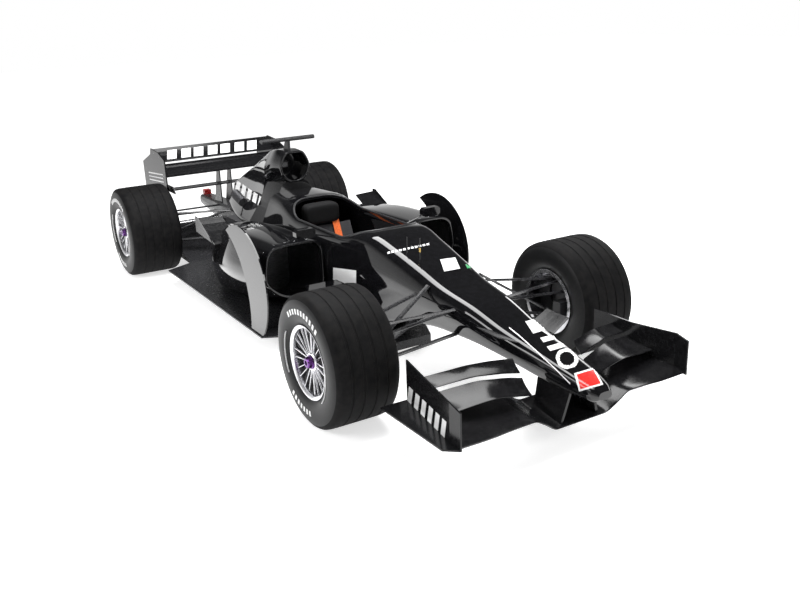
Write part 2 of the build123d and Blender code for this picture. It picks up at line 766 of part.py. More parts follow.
def wheel_disc(place, y, radius, sides=wheel_facets):
    """Many-sided disc across a wheel's axle at y, with its flats at the radius."""
    with BuildSketch(wheel_plane(place, y)) as disc:
        RegularPolygon(radius, sides, major_radius=False, rotation=180 / sides)
    return disc.sketch


def wheel_point(place, y, radius, turn):
    """Corner of such a disc, counted round from the front."""
    axle_x, axle_z, side = place
    reach = radius / cos(pi / wheel_facets)
    angle = 2 * pi * (turn + 0.5) / wheel_facets
    return (axle_x + reach * cos(angle), side * y, axle_z + reach * sin(angle))


for name, side, axle_x, tyre_radius, tyre_width in wheel_rows:
    tyre_half = tyre_width / 2
    centre_y = half_width - tyre_half
    rim_half = tyre_half - rim_inset
    seat_half = rim_half - rim_flange - seat_gap
    wall_low = rim_seat_radius + (tyre_radius - rim_seat_radius) / 3
    wall_high = rim_seat_radius + (tyre_radius - rim_seat_radius) * tyre_wall_share
    place = (axle_x, tyre_radius, side)

    # Columns: place outboard of the tyre's middle, radius
    outer_profile = [
        (seat_half, rim_seat_radius + seat_gap),
        (seat_half, rim_flange_radius),
        (tyre_half, wall_low),
        (tyre_half, wall_high),
        (tyre_half - tyre_shoulder, tyre_radius),
    ]
    profile = outer_profile + [(-y, radius) for y, radius in reversed(outer_profile)]
    facets = []
    for turn in range(wheel_facets):
        for (y, radius), (next_y, next_radius) in zip(profile, profile[1:] + profile[:1]):
            corners = [
                wheel_point(place, centre_y + y, radius, turn),
                wheel_point(place, centre_y + next_y, next_radius, turn),
                wheel_point(place, centre_y + next_y, next_radius, turn + 1),
                wheel_point(place, centre_y + y, radius, turn + 1),
            ]
            facets.append(Face(Wire.make_polygon(corners, close=True)))
    with BuildPart() as tyre:
        add(Solid(Shell(facets)))
    tyre.part.label = f"{name}_tyre"
    export_step(tyre.part, f"parts/{name}_tyre.step")

    hub_out = centre_y + rim_half - hub_setback
    with BuildPart() as spoke:
        with BuildSketch(cross_plane(axle_x, 0, tyre_radius, side)):
            with BuildLine():
                Polyline(
                    (hub_out - spoke_depth, hub_radius - spoke_width),
                    (centre_y + rim_half - rim_flange - spoke_depth, rim_barrel_radius + spoke_width / 2),
                    (centre_y + rim_half - rim_flange, rim_barrel_radius + spoke_width / 2),
                    (hub_out, hub_radius - spoke_width),
                    close=True,
                )
            make_face()
        extrude(amount=spoke_width / 2, both=True)
    axle = Axis((axle_x, side * centre_y, tyre_radius), (0, 1, 0))
    lean = degrees(atan2(spoke_pair_spread, hub_radius))
    with BuildPart() as rim:
        extrude(wheel_disc(place, centre_y - rim_half, rim_seat_radius), amount=2 * rim_half)
        for flange_y in (centre_y - rim_half, centre_y + rim_half - rim_flange):
            extrude(wheel_disc(place, flange_y, rim_flange_radius), amount=rim_flange)
        barrel = wheel_disc(place, centre_y - rim_half, rim_barrel_radius)
        extrude(barrel, amount=2 * rim_half, mode=Mode.SUBTRACT)
        extrude(wheel_disc(place, hub_out - hub_depth, hub_radius, 2 * spoke_pairs), amount=hub_depth)
        extrude(wheel_disc(place, hub_out, nut_radius, nut_sides), amount=nut_length)
        for count in range(spoke_pairs):
            for turn in (-lean, lean):
                add(spoke.part.rotate(axle, 360 / spoke_pairs * count + turn))
        with BuildSketch(wheel_plane(place, hub_out - hub_depth)):
            Circle(axle_radius + running_gap)
        extrude(amount=hub_depth - nut_length, mode=Mode.SUBTRACT)
    rim.part.label = f"{name}_rim"
    export_step(rim.part, f"parts/{name}_rim.step")

# Uprights: block on the steering axis, drum round the brake, stub axle, steering arm, air scoop
drum_radius = 148.0
drum_length = 60.0
block_half_length = 44.0
block_half_height = 88.0
kingpin_y = 690.0
block_inner = 22.0
ball_radius = 17.0
ball_height = 36.0
stub_clear = 3.0
arm_reach = 86.0
arm_width = 26.0
arm_thickness = 12.0
arm_level = 52.0
arm_gap = 5.0
scoop_front = 132.0
scoop_back = 76.0
scoop_low = 56.0
scoop_high = 30.0
scoop_inner_y = 542.0


def make_upright(name, side, axle_x, axle_z, hub_in, with_steering):
    """Upright of one corner, carried on the kingpin line at kingpin_y."""
    drum_face = hub_in - stub_clear
    drum_back = drum_face - drum_length
    place = (axle_x, axle_z, side)
    with BuildPart() as upright:
        extrude(wheel_disc(place, drum_back, drum_radius), amount=drum_length)
        with BuildSketch(wheel_plane(place, drum_face)):
            Circle(axle_radius)
        extrude(amount=hub_depth - nut_length)
        with BuildSketch(Plane(origin=(axle_x, side * drum_back, axle_z), x_dir=(1, 0, 0),
                               z_dir=(0, -side, 0))):
            Rectangle(2 * block_half_length, 2 * block_half_height)
        extrude(amount=drum_back - kingpin_y + block_inner)
        if with_steering:
            arm_y = side * kingpin_y
            with BuildSketch(Plane.XY.offset(axle_z + arm_level - arm_thickness)):
                with Locations((axle_x + arm_reach / 2, arm_y)):
                    Rectangle(arm_reach + arm_width, arm_width)
            extrude(amount=arm_thickness)
            with BuildSketch(Plane.XY.offset(axle_z - scoop_low)):
                with BuildLine():
                    Polyline(
                        (axle_x + scoop_back, side * drum_back),
                        (axle_x + scoop_back, side * scoop_inner_y),
                        (axle_x + scoop_front, side * scoop_inner_y),
                        (axle_x + scoop_front, side * drum_back),
                        close=True,
                    )
                make_face()
            extrude(amount=scoop_low + scoop_high)
    upright.part.label = f"{name}_upright"
    export_step(upright.part, f"parts/{name}_upright.step")


for name, side, axle_x, tyre_radius, tyre_width in wheel_rows:
    hub_in = half_width - rim_inset - hub_setback - hub_depth
    make_upright(name, side, axle_x, tyre_radius, hub_in, axle_x > 0)

# Suspension links of each corner: wishbones with their ball eyes, pushrod, track rod
upper_width = 28.0
lower_width = 40.0
link_height = 12.0
push_width = 34.0
push_height = 14.0
track_width = 26.0
# Columns: inner station, inner place across, inner level
front_upper_shares = [(0.050, 0.170, 0.476), (-0.045, 0.190, 0.490)]
front_lower_shares = [(0.045, 0.130, 0.345), (-0.062, 0.150, 0.330)]
front_push_share = (-0.020, 0.180, 0.545)
front_track_share = (0.026, 0.150, 0.440)
rear_upper_shares = [(-0.930, 0.080, 0.420), (-1.030, 0.060, 0.410)]
rear_lower_shares = [(-0.915, 0.080, 0.235), (-1.040, 0.060, 0.320)]
rear_push_share = (-0.945, 0.080, 0.430)
rear_track_share = (-1.055, 0.060, 0.350)
push_outer_y = 640.0
link_root_share = 0.2
eye_level = block_half_height + seat_gap


def make_links(name, side, axle_x, axle_z, upper, lower, push, track, carriers, track_side):
    """Links of one corner, cut off at the surface of the pieces that carry them."""
    with BuildPart() as links:
        eye_rows = [
            (eye_level + ball_height / 2, upper_width, upper),
            (-eye_level - ball_height / 2, lower_width, lower),
        ]
        for level, width, rows in eye_rows:
            eye = (axle_x, side * kingpin_y, axle_z + level)
            with BuildSketch(Plane.XY.offset(eye[2] - ball_height / 2)):
                with Locations((eye[0], eye[1])):
                    Circle(ball_radius)
            extrude(amount=ball_height)
            for x, y, z in rows:
                add(rod(eye, (at_x(x), side * at_y(y), at_z(z)), width, link_height))
        foot = (axle_x, side * push_outer_y, axle_z - eye_level - ball_height / 2 + push_height)
        add(rod(foot, (at_x(push[0]), side * at_y(push[1]), at_z(push[2])), push_width, push_height))
        end = (axle_x + track_side * arm_reach, side * kingpin_y, axle_z + arm_level + arm_gap + link_height / 2)
        add(rod(end, (at_x(track[0]), side * at_y(track[1]), at_z(track[2])), track_width, link_height))
        for carrier in carriers:
            add(carrier, mode=Mode.SUBTRACT)
    kept = [solid for solid in links.part.solids() if abs(solid.center().Y) > at_y(link_root_share)]
    with BuildPart() as corner:
        add(kept)
    corner.part.label = f"{name}_links"
    export_step(corner.part, f"parts/{name}_links.step")


for name, side, axle_x, tyre_radius, tyre_width in wheel_rows:
    if axle_x > 0:
        make_links(name, side, axle_x, tyre_radius, front_upper_shares, front_lower_shares,
                   front_push_share, front_track_share, [tub_clearance, nose_clearance], 1)
    else:
        make_links(name, side, axle_x, tyre_radius, rear_upper_shares, rear_lower_shares,
                   rear_push_share, rear_track_share, [gearbox_clearance], -1)

# Driveshafts from the gearbox to the rear uprights
shaft_radius = 16.0
shaft_root_share = 0.08
with BuildPart() as driveshafts:
    for side in (1, -1):
        outer = kingpin_y - block_inner - seat_gap
        with BuildSketch(Plane(origin=(rear_axle_x, side * outer, rear_tyre_radius), x_dir=(1, 0, 0),
                               z_dir=(0, -side, 0))):
            Circle(shaft_radius)
        extrude(amount=outer - at_y(shaft_root_share))
    add(gearbox_clearance, mode=Mode.SUBTRACT)
driveshafts.part.label = "driveshafts"
export_step(driveshafts.part, "parts/driveshafts.step")

# Winglets beside the nose
nose_winglet_shares = [
    (0.110, 0.188, 0.425, 0.135, 0.432, 0.008, 0.004),
    (0.235, 0.180, 0.471, 0.130, 0.476, 0.008, 0.004),
]
with BuildPart() as nose_winglets:
    for side in (1, -1):
        loft(sections=wing_rows(nose_winglet_shares, side), ruled=True)
    add(nose_clearance, mode=Mode.SUBTRACT)
nose_winglets.part.label = "nose_winglets"
export_step(nose_winglets.part, "parts/nose_winglets.step")

# Crescent vanes that stand on the floor's front corners
vane_y = 688.0
vane_thickness = 8.0
vane_front_shares = [(-0.322, 0.096), (-0.287, 0.440), (-0.459, 0.650)]
vane_back_shares = [(-0.459, 0.650), (-0.386, 0.440), (-0.372, 0.096)]
with BuildPart() as turning_vanes:
    for side in (1, -1):
        with BuildSketch(side_plane(side * vane_y + vane_thickness / 2)):
            with BuildLine():
                front = [(at_x(x), at_z(z)) for x, z in vane_front_shares]
                back = [(at_x(x), at_z(z)) for x, z in vane_back_shares]
                ThreePointArc(*front)
                ThreePointArc(*back)
                Line(back[2], front[0])
            make_face()
        extrude(amount=vane_thickness)
    split(bisect_by=body_seat, keep=Keep.TOP)
turning_vanes.part.label = "turning_vanes"
export_step(turning_vanes.part, "parts/turning_vanes.step")

# Mirrors on stalks from the cockpit sides
mirror_width = 120.0
mirror_height = 52.0
mirror_length = 44.0
mirror_place_shares = (-0.300, 0.470, 0.690)
stalk_root_shares = (0.200, 0.620)
stalk_size = 14.0
tub_waist_share = 0.27
with BuildPart() as mirrors:
    for side in (1, -1):
        x, y, z = at_x(mirror_place_shares[0]), side * at_y(mirror_place_shares[1]), at_z(mirror_place_shares[2])
        with BuildSketch(Plane(origin=(x, y, z), x_dir=(0, 1, 0), z_dir=(1, 0, 0))):
            mirror_face = Rectangle(mirror_width, mirror_height)
            chamfer(mirror_face.vertices(), mirror_height / 4)
        extrude(amount=mirror_length)
        add(rod((x + mirror_length / 2, y, z), (x + mirror_length / 2, side * at_y(stalk_root_shares[0]), at_z(stalk_root_shares[1])),
                stalk_size, stalk_size / 2))
    add(tub_clearance, mode=Mode.SUBTRACT)
    kept = [solid for solid in mirrors.part.solids() if abs(solid.center().Y) > at_y(tub_waist_share)]
with BuildPart() as mirror_pair:
    add(kept)
mirror_pair.part.label = "mirrors"
export_step(mirror_pair.part, "parts/mirrors.step")

# Lower rear wing: a slim bar with end fins, ahead of the main wing
lower_wing_share = (-0.978, 0.605, -1.005, 0.612, 0.012, 0.004)
lower_fin_shares = [(-0.952, 0.590), (-0.965, 0.640), (-1.0083, 0.640), (-1.0079, 0.590)]
lower_fin_thickness = 6.0
lower_half = 492.0
with BuildPart() as lower_rear_wing:
    add(straight_wing(lower_wing_share, lower_half).part)
    for side in (1, -1):
        with BuildSketch(side_plane(side * lower_half + lower_fin_thickness / 2)):
            with BuildLine():
                Polyline([(at_x(x), at_z(z)) for x, z in lower_fin_shares], close=True)
            make_face()
        extrude(amount=lower_fin_thickness)
lower_rear_wing.part.label = "lower_rear_wing"
export_step(lower_rear_wing.part, "parts/lower_rear_wing.step")

# Flip-ups: winglets that rise from the sidepods' shoulders ahead of the rear wheels
flip_up_shares = [
    (0.560, -0.548, 0.505, -0.640, 0.604, 0.012, 0.010),
    (0.745, -0.548, 0.497, -0.648, 0.606, 0.012, 0.010),
]
flip_plate_shares = [(-0.560, 0.500), (-0.640, 0.622), (-0.652, 0.622), (-0.652, 0.520)]
flip_plate_thickness = 6.0
with BuildPart() as flip_ups:
    for side in (1, -1):
        loft(sections=wing_rows(flip_up_shares, side), ruled=True)
        with BuildSketch(side_plane(side * at_y(flip_up_shares[-1][0]) + flip_plate_thickness / 2)):
            with BuildLine():
                Polyline([(at_x(x), at_z(z)) for x, z in flip_plate_shares], close=True)
            make_face()
        extrude(amount=flip_plate_thickness)
        add(pod_hull(pod_shares, side, -seat_gap), mode=Mode.SUBTRACT)
    flips = flip_ups.solids().sort_by(SortBy.VOLUME)[-2:]
with BuildPart() as flip_up_pair:
    add(flips)
flip_up_pair.part.label = "flip_ups"
export_step(flip_up_pair.part, "parts/flip_ups.step")

# Barge boards between the front wheels and the sidepods, standing on the floor's front edge
board_thickness = 7.0
board_plan_shares = [(-0.170, 0.310), (-0.225, 0.350), (-0.262, 0.400), (-0.296, 0.480)]
board_side_shares = [(-0.170, 0.300), (-0.176, 0.400), (-0.240, 0.440), (-0.296, 0.380), (-0.296, 0.096),
                     (-0.262, 0.096), (-0.200, 0.180)]
with BuildPart() as barge_boards:
    for side in (1, -1):
        outer_line = [(at_x(x), side * at_y(y)) for x, y in board_plan_shares]
        inner_line = [(x, y - side * board_thickness) for x, y in reversed(outer_line)]
        with BuildSketch(body_seat):
            with BuildLine():
                Polyline(outer_line + inner_line, close=True)
            make_face()
        extrude(amount=body_height)
    with BuildSketch(side_plane(half_width)):
        with BuildLine():
            Polyline([(at_x(x), at_z(z)) for x, z in board_side_shares], close=True)
        make_face()
    extrude(amount=overall_width, mode=Mode.INTERSECT)
barge_boards.part.label = "barge_boards"
export_step(barge_boards.part, "parts/barge_boards.step")
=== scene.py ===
"""Open wheel racing car: smooth skins, finishes, tyres, wheel and cockpit details, studio and camera."""
import math

import bmesh
import bpy
from mathutils import Matrix, Vector
from mathutils.bvhtree import BVHTree


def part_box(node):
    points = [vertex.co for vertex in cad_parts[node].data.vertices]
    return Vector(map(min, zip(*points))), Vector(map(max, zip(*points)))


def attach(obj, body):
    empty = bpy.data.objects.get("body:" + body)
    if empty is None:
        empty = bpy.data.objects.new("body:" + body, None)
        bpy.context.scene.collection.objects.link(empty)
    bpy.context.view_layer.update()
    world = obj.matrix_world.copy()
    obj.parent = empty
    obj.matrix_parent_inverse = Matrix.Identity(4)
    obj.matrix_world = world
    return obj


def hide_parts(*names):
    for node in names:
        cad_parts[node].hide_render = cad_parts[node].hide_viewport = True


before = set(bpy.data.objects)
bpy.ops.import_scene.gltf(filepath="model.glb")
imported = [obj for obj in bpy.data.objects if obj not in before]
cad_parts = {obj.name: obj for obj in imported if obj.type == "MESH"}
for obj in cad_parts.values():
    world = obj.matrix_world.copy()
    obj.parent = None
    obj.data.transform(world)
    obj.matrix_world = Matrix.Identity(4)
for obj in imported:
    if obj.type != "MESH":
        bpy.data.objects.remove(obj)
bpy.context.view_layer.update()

# Frame sizes in metres, as the car's own source gives them
WHEELBASE = 3.140
FRONT_AXLE = 1.354
REAR_AXLE = FRONT_AXLE - WHEELBASE
HALF_WIDTH = 0.900
GAP = 0.0003
FLOOR_TOP = 0.1033
WALL = 0.014
RIM_SEAT, RIM_FLANGE, RIM_INSET, FLANGE_WIDTH = 0.168, 0.181, 0.014, 0.008
# Half width of the tub's waist and station of the joint behind the nose, as shares
TUB_WAIST = 0.306
NOSE_JOINT = 0.073
CAR = "car"
SIDES = ((1, "left"), (-1, "right"))
AHEAD, LEFT, UP = Vector((1, 0, 0)), Vector((0, 1, 0)), Vector((0, 0, 1))


# Finishes
def feed(socket, value):
    """Sets a node's input, or links it where the value is another node's output."""
    if isinstance(value, bpy.types.NodeSocket):
        socket.id_data.links.new(value, socket)
    else:
        socket.default_value = value


def node(tree, kind, **values):
    """New node with its inputs fed by name."""
    made = tree.nodes.new(kind)
    for key, value in values.items():
        feed(made.inputs[key], value)
    return made


def wired(tree, kind, *values, operation=None):
    """New node with its inputs fed in their order, after a math node's operation is set."""
    made = tree.nodes.new(kind)
    if operation:
        made.operation = operation
    for socket, value in zip(made.inputs, values):
        feed(socket, value)
    return made


def worked(tree, operation, *values):
    """Output of a math node."""
    return wired(tree, "ShaderNodeMath", *values, operation=operation).outputs[0]


def finish(name, base, second, rough, metallic=0.0, grain=60.0, bump=0.06, spread=0.05, specular=0.5,
           coat=0.0, weave=0.0, seams=(), stretch=(1.0, 1.0, 1.0), sheen=0.0):
    """Procedural surface: two tones mixed by grain, uneven gloss, fine relief, weave and panel seams."""
    material = bpy.data.materials.new(name)
    material.use_nodes = True
    tree = material.node_tree
    place = tree.nodes.new("ShaderNodeTexCoord").outputs["Object"]
    mapping = node(tree, "ShaderNodeMapping", Vector=place, Scale=stretch)
    noise = node(tree, "ShaderNodeTexNoise", Vector=mapping.outputs["Vector"], Scale=grain, Detail=6.0)
    ramp = node(tree, "ShaderNodeValToRGB", Fac=noise.outputs["Fac"])
    for element, position, tone in zip(ramp.color_ramp.elements, (0.35, 0.70), (base, second)):
        element.position, element.color = position, (*tone, 1)
    colour, height = ramp.outputs["Color"], noise.outputs["Fac"]
    if weave:
        checker = node(tree, "ShaderNodeTexChecker", Vector=place, Scale=1 / weave)
        mix = tree.nodes.new("ShaderNodeMix")
        mix.data_type = "RGBA"
        thread = (*[c * 2.2 + 0.004 for c in base], 1)
        for key, value in (("Factor", checker.outputs["Fac"]), ("A", colour), ("B", thread)):
            feed(mix.inputs[key], value)
        colour, height = mix.outputs["Result"], checker.outputs["Fac"]
    if seams:
        along = node(tree, "ShaderNodeSeparateXYZ", Vector=place).outputs["X"]
        for seam in seams:
            line = worked(tree, "COMPARE", along, seam, SEAM_HALF_WIDTH)
            height = worked(tree, "MULTIPLY_ADD", line, -SEAM_DEPTH, height)
    gloss = node(tree, "ShaderNodeMapRange", Value=noise.outputs["Fac"],
                 **{"To Min": max(0.01, rough - spread), "To Max": rough + spread})
    relief = node(tree, "ShaderNodeBump", Height=height, Strength=bump, Distance=0.001)
    sockets = {"Metallic": metallic, "Specular IOR Level": specular, "Coat Weight": coat, "Coat Roughness": 0.03,
               "Sheen Weight": sheen, "Base Color": colour, "Roughness": gloss.outputs["Result"],
               "Normal": relief.outputs["Normal"]}
    for key, value in sockets.items():
        feed(tree.nodes["Principled BSDF"].inputs[key], value)
    return material


# Panel seams of the body: stations in metres, half a seam's width, and its depth in heights of the grain
SEAMS = (1.58, 0.70, 0.36, -0.255, -0.56, -0.81)
SEAM_HALF_WIDTH, SEAM_DEPTH = 0.0013, 14.0
black = finish("gloss_black", (0.0035, 0.0035, 0.004), (0.006, 0.006, 0.007), 0.045, grain=40, bump=0.012,
               spread=0.02, specular=0.42, coat=0.25, seams=SEAMS)
wing_black = finish("wing_black", (0.005, 0.005, 0.0055), (0.010, 0.010, 0.011), 0.20, grain=55, bump=0.03,
                    spread=0.05, specular=0.28)
carbon = finish("satin_carbon", (0.010, 0.010, 0.011), (0.018, 0.018, 0.020), 0.28, grain=90, bump=0.10,
                weave=0.004, specular=0.4)
satin = finish("satin_dark", (0.012, 0.012, 0.013), (0.022, 0.022, 0.024), 0.35, grain=120, bump=0.10)
rubber = finish("tyre_rubber", (0.0045, 0.0045, 0.005), (0.010, 0.0095, 0.0095), 0.66, grain=28, bump=0.25,
                spread=0.10, specular=0.08)
wall_rubber = finish("wall_rubber", (0.006, 0.006, 0.0065), (0.010, 0.010, 0.0105), 0.42, grain=70, bump=0.08,
                     specular=0.18)
alloy = finish("rim_alloy", (0.56, 0.56, 0.58), (0.72, 0.72, 0.74), 0.20, metallic=1.0, grain=30, bump=0.03,
               spread=0.07)
dark_alloy = finish("dark_casting", (0.10, 0.10, 0.105), (0.17, 0.17, 0.18), 0.40, metallic=0.9, grain=90,
                    bump=0.20)
steel = finish("ground_steel", (0.38, 0.38, 0.39), (0.52, 0.52, 0.53), 0.24, metallic=1.0, grain=140, bump=0.05,
               stretch=(1, 6, 1))
anodised = finish("anodised_nut", (0.10, 0.035, 0.16), (0.17, 0.07, 0.25), 0.24, metallic=1.0, grain=160,
                  bump=0.05)
gold = finish("gold_band", (0.62, 0.42, 0.12), (0.78, 0.56, 0.20), 0.25, metallic=1.0, grain=200, bump=0.04)
disc_carbon = finish("disc_carbon", (0.030, 0.029, 0.028), (0.055, 0.053, 0.050), 0.50, grain=220, bump=0.20)
white = finish("white_vinyl", (0.80, 0.80, 0.80), (0.86, 0.86, 0.86), 0.30, grain=150, bump=0.02)
red = finish("red_plate", (0.62, 0.015, 0.015), (0.72, 0.03, 0.02), 0.22, grain=120, bump=0.02, coat=0.3)
green = finish("green_patch", (0.02, 0.22, 0.07), (0.03, 0.30, 0.10), 0.30, grain=150, bump=0.02)
orange = finish("orange_webbing", (0.55, 0.10, 0.02), (0.70, 0.16, 0.03), 0.75, grain=500, bump=0.5,
                weave=0.002)
fabric = finish("knit_fabric", (0.016, 0.016, 0.018), (0.030, 0.030, 0.033), 0.85, grain=420, bump=0.5,
                weave=0.003, sheen=0.3)
suede = finish("grip_suede", (0.003, 0.003, 0.0035), (0.007, 0.007, 0.0075), 0.80, grain=380, bump=0.5,
               specular=0.2)
wood = finish("plank_laminate", (0.20, 0.13, 0.07), (0.32, 0.21, 0.11), 0.55, grain=22, bump=0.15,
              stretch=(0.6, 8, 8))
fins = finish("radiator_fins", (0.10, 0.10, 0.105), (0.30, 0.30, 0.31), 0.45, metallic=0.8, grain=40, bump=0.6,
              stretch=(1, 1, 22))
glass = finish("mirror_glass", (0.80, 0.81, 0.83), (0.86, 0.87, 0.88), 0.03, metallic=1.0, grain=20, bump=0.004,
               spread=0.01)
dark_glass = finish("display_glass", (0.004, 0.005, 0.006), (0.010, 0.012, 0.014), 0.06, grain=60, bump=0.01)
lamp_red = finish("lamp_red", (0.30, 0.005, 0.005), (0.42, 0.01, 0.01), 0.15, grain=260, bump=0.3, weave=0.006)


# Mesh helpers
def shade(mesh, angle):
    """Smooth shading, with edges sharper than the angle kept."""
    for face in mesh.polygons:
        face.use_smooth = True
    mesh.set_sharp_from_angle(angle=math.radians(angle))


def placed(name, mesh, material, body):
    """Object of a mesh with its material, on a body where one is given."""
    obj = bpy.data.objects.new(name, mesh)
    bpy.context.scene.collection.objects.link(obj)
    obj.data.materials.append(material)
    if body:
        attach(obj, body)
    return obj


def drop_twins(made):
    """Deletes faces that lie on one another, as those between the cells of a film do."""
    made.verts.index_update()
    seen = {}
    for face in made.faces:
        seen.setdefault(tuple(sorted(v.index for v in face.verts)), []).append(face)
    twins = [face for group in seen.values() if len(group) > 1 for face in group]
    if twins:
        bmesh.ops.delete(made, geom=twins, context="FACES_ONLY")


def piece(name, verts, faces, material, body, smooth=35.0, slot=None, film=False):
    """Mesh piece on a body, with its normals made consistent and its edges sharp above an angle."""
    mesh = bpy.data.meshes.new(name)
    mesh.from_pydata([tuple(v) for v in verts], [], faces)
    made = bmesh.new()
    made.from_mesh(mesh)
    bmesh.ops.remove_doubles(made, verts=made.verts, dist=1e-6)
    if film:
        drop_twins(made)
    bmesh.ops.recalc_face_normals(made, faces=made.faces)
    made.to_mesh(mesh)
    made.free()
    shade(mesh, smooth)
    obj = placed(name, mesh, material, body)
    return obj


def station(share):
    """Place along the car, as a share of the wheelbase ahead of the front axle."""
    return FRONT_AXLE + share * WHEELBASE


def at(share_x, share_y, level):
    """Point from its station, its place across as a share of the half width, and its level in metres."""
    return Vector((station(share_x), share_y * HALF_WIDTH, level))


def on_circle(u, w, radius, angle):
    """Offset to a point of a circle in the plane of two directions, at an angle in degrees."""
    turn = math.radians(angle)
    return u * (radius * math.cos(turn)) + w * (radius * math.sin(turn))


def rounded(points, radius, steps=5):
    """Closed outline with each corner drawn as a small curve, with equally many points for every outline."""
    out = []
    for i, corner in enumerate(points):
        corner = Vector(corner)
        before, after = Vector(points[i - 1]) - corner, Vector(points[(i + 1) % len(points)]) - corner
        start = corner + before.normalized() * min(radius, 0.46 * before.length)
        end = corner + after.normalized() * min(radius, 0.46 * after.length)
        for k in range(steps + 1):
            t = k / steps
            out.append(start * (1 - t) ** 2 + corner * 2 * t * (1 - t) + end * t ** 2)
    return out


def blended(rows, parts=6):
    """Rows with further ones between them, each column on a smooth line through the given values."""
    xs = [row[0] for row in rows]
    grades = [[(b - a) / (xs[i + 1] - xs[i]) for a, b in zip(rows[i], rows[i + 1])] for i in range(len(rows) - 1)]
    slopes = [list(grades[0])]
    for before, after in zip(grades, grades[1:]):
        slopes.append([2 * a * b / (a + b) if a * b > 0 else 0.0 for a, b in zip(before, after)])
    slopes.append(list(grades[-1]))
    out = []
    for i in range(len(rows) - 1):
        run = xs[i + 1] - xs[i]
        for k in range(parts):
            t = k / parts
            h = (2 * t ** 3 - 3 * t ** 2 + 1, t ** 3 - 2 * t ** 2 + t, 3 * t ** 2 - 2 * t ** 3, t ** 3 - t ** 2)
            out.append([h[0] * a + h[1] * run * sa + h[2] * b + h[3] * run * sb
                        for a, sa, b, sb in zip(rows[i], slopes[i], rows[i + 1], slopes[i + 1])])
    out.append(list(rows[-1]))
    return out


def skin(rings, loop=False):
    """Vertices and faces through closed rings of equally many points, capped unless the rings make a loop."""
    count = len(rings[0])
    total = count * len(rings)
    faces = []
    for a in range(0, total if loop else total - count, count):
        b = (a + count) % total
        faces += [(a + j, a + (j + 1) % count, b + (j + 1) % count, b + j) for j in range(count)]
    if not loop:
        faces += [tuple(range(count)), tuple(range(total - count, total))]
    return [p for ring in rings for p in ring], faces


def loft(name, rings, material, body, smooth=35.0, slot=None):
    """Skin through rings, as a piece."""
    return piece(name, *skin(rings), material, body, smooth, slot)


def hull_ring(row, inset=0.0, crown=0.06):
    """Ring of a hull across the car: low, waist and high levels and half widths, a crowned top."""
    x, low, waist, high, low_half, waist_half, high_half, corner = row
    lh, wh, hh = (h * HALF_WIDTH - inset for h in (low_half, waist_half, high_half))
    top, bottom = high - inset, max(low, FLOOR_TOP) + inset
    rise = crown * hh
    outline = [(lh, bottom), (wh, waist), (hh, top), (hh * 0.45, top + rise), (-hh * 0.45, top + rise),
               (-hh, top), (-wh, waist), (-lh, bottom)]
    return [Vector((station(x), p.x, p.y)) for p in rounded(outline, corner * 1.25)]


def shell(name, outer, inner, material, body, slot=None):
    """Hollow skin open at its first ring: outer and inner rings, joined there by a rounded lip."""
    lip = [(a + b) / 2 for a, b in zip(outer[0], inner[0])]
    forward = (outer[0][0] - outer[1][0]).normalized() * 0.005
    shoulders = [[p + forward * 0.9 + (q - p) * 0.25 for p, q in zip(ring, lip)] for ring in (outer[0], inner[0])]
    rings = outer[::-1] + [shoulders[0], [p + forward * 1.2 for p in lip], shoulders[1]] + inner
    return loft(name, rings, material, body, slot=slot)


def carve(obj, cutter):
    """Cuts one mesh out of another and keeps the result as plain mesh."""
    cut = obj.modifiers.new("cut", "BOOLEAN")
    cut.operation, cut.object, cut.solver = "DIFFERENCE", cutter, "EXACT"
    bpy.context.view_layer.update()
    graph = bpy.context.evaluated_depsgraph_get()
    mesh = bpy.data.meshes.new_from_object(obj.evaluated_get(graph))
    obj.modifiers.clear()
    obj.data = mesh
    shade(mesh, 35)
    bpy.data.objects.remove(cutter)


def prism(outline, low, high, axis="Z"):
    """Vertices and faces of an outline carried from one level to another along an axis."""
    place = {"Z": lambda p, h: Vector((p[0], p[1], h)), "Y": lambda p, h: Vector((p[0], h, p[1])),
             "X": lambda p, h: Vector((h, p[0], p[1]))}[axis]
    return skin([[place(p, h) for p in outline] for h in (low, high)])


def pane(y, z, half_wide, half_tall, radius, steps=3):
    """Outline of a rectangle with rounded corners."""
    corners = [(y + a * half_wide, z + b * half_tall) for a, b in ((-1, -1), (1, -1), (1, 1), (-1, 1))]
    return [(p.x, p.y) for p in rounded(corners, radius, steps)]


def lathe(profile, centre, side, segments=96, start=0.0, sweep=360.0):
    """Profile of offset outboard and radius, turned round a wheel's axle."""
    whole = sweep >= 360
    rings = []
    for i in range(segments if whole else segments + 1):
        a = math.radians(start + sweep * i / segments)
        rings.append([centre + Vector((r * math.cos(a), side * y, r * math.sin(a))) for y, r in profile])
    return skin(rings, whole)


def merged(parts):
    """Several (verts, faces) as one."""
    verts, faces = [], []
    for v, f in parts:
        base = len(verts)
        verts += v
        faces += [tuple(i + base for i in face) for face in f]
    return verts, faces


def bar(start, end, width, height, taper, up):
    """Eight-sided bar between two points."""
    run = (end - start).normalized()
    side = run.cross(up).normalized()
    top = side.cross(run)
    to_flat = 2 * math.cos(math.radians(22.5))
    return skin([[point + on_circle(side * (width * scale), top * (height * scale), 1 / to_flat, 22.5 + 45 * k)
                  for k in range(8)] for point, scale in ((start, 1.0), (end, taper))])


def tube(points, radius, sides=10):
    """Round tube through points, of one radius or one for each point."""
    radii = radius if isinstance(radius, (list, tuple)) else [radius] * len(points)
    rings = []
    for i, (p, r) in enumerate(zip(points, radii)):
        run = (points[min(i + 1, len(points) - 1)] - points[max(i - 1, 0)]).normalized()
        across = run.cross(UP)
        across = across.normalized() if across.length > 1e-4 else AHEAD
        rings.append([p + on_circle(across, across.cross(run), r, 360 * k / sides) for k in range(sides)])
    return skin(rings)


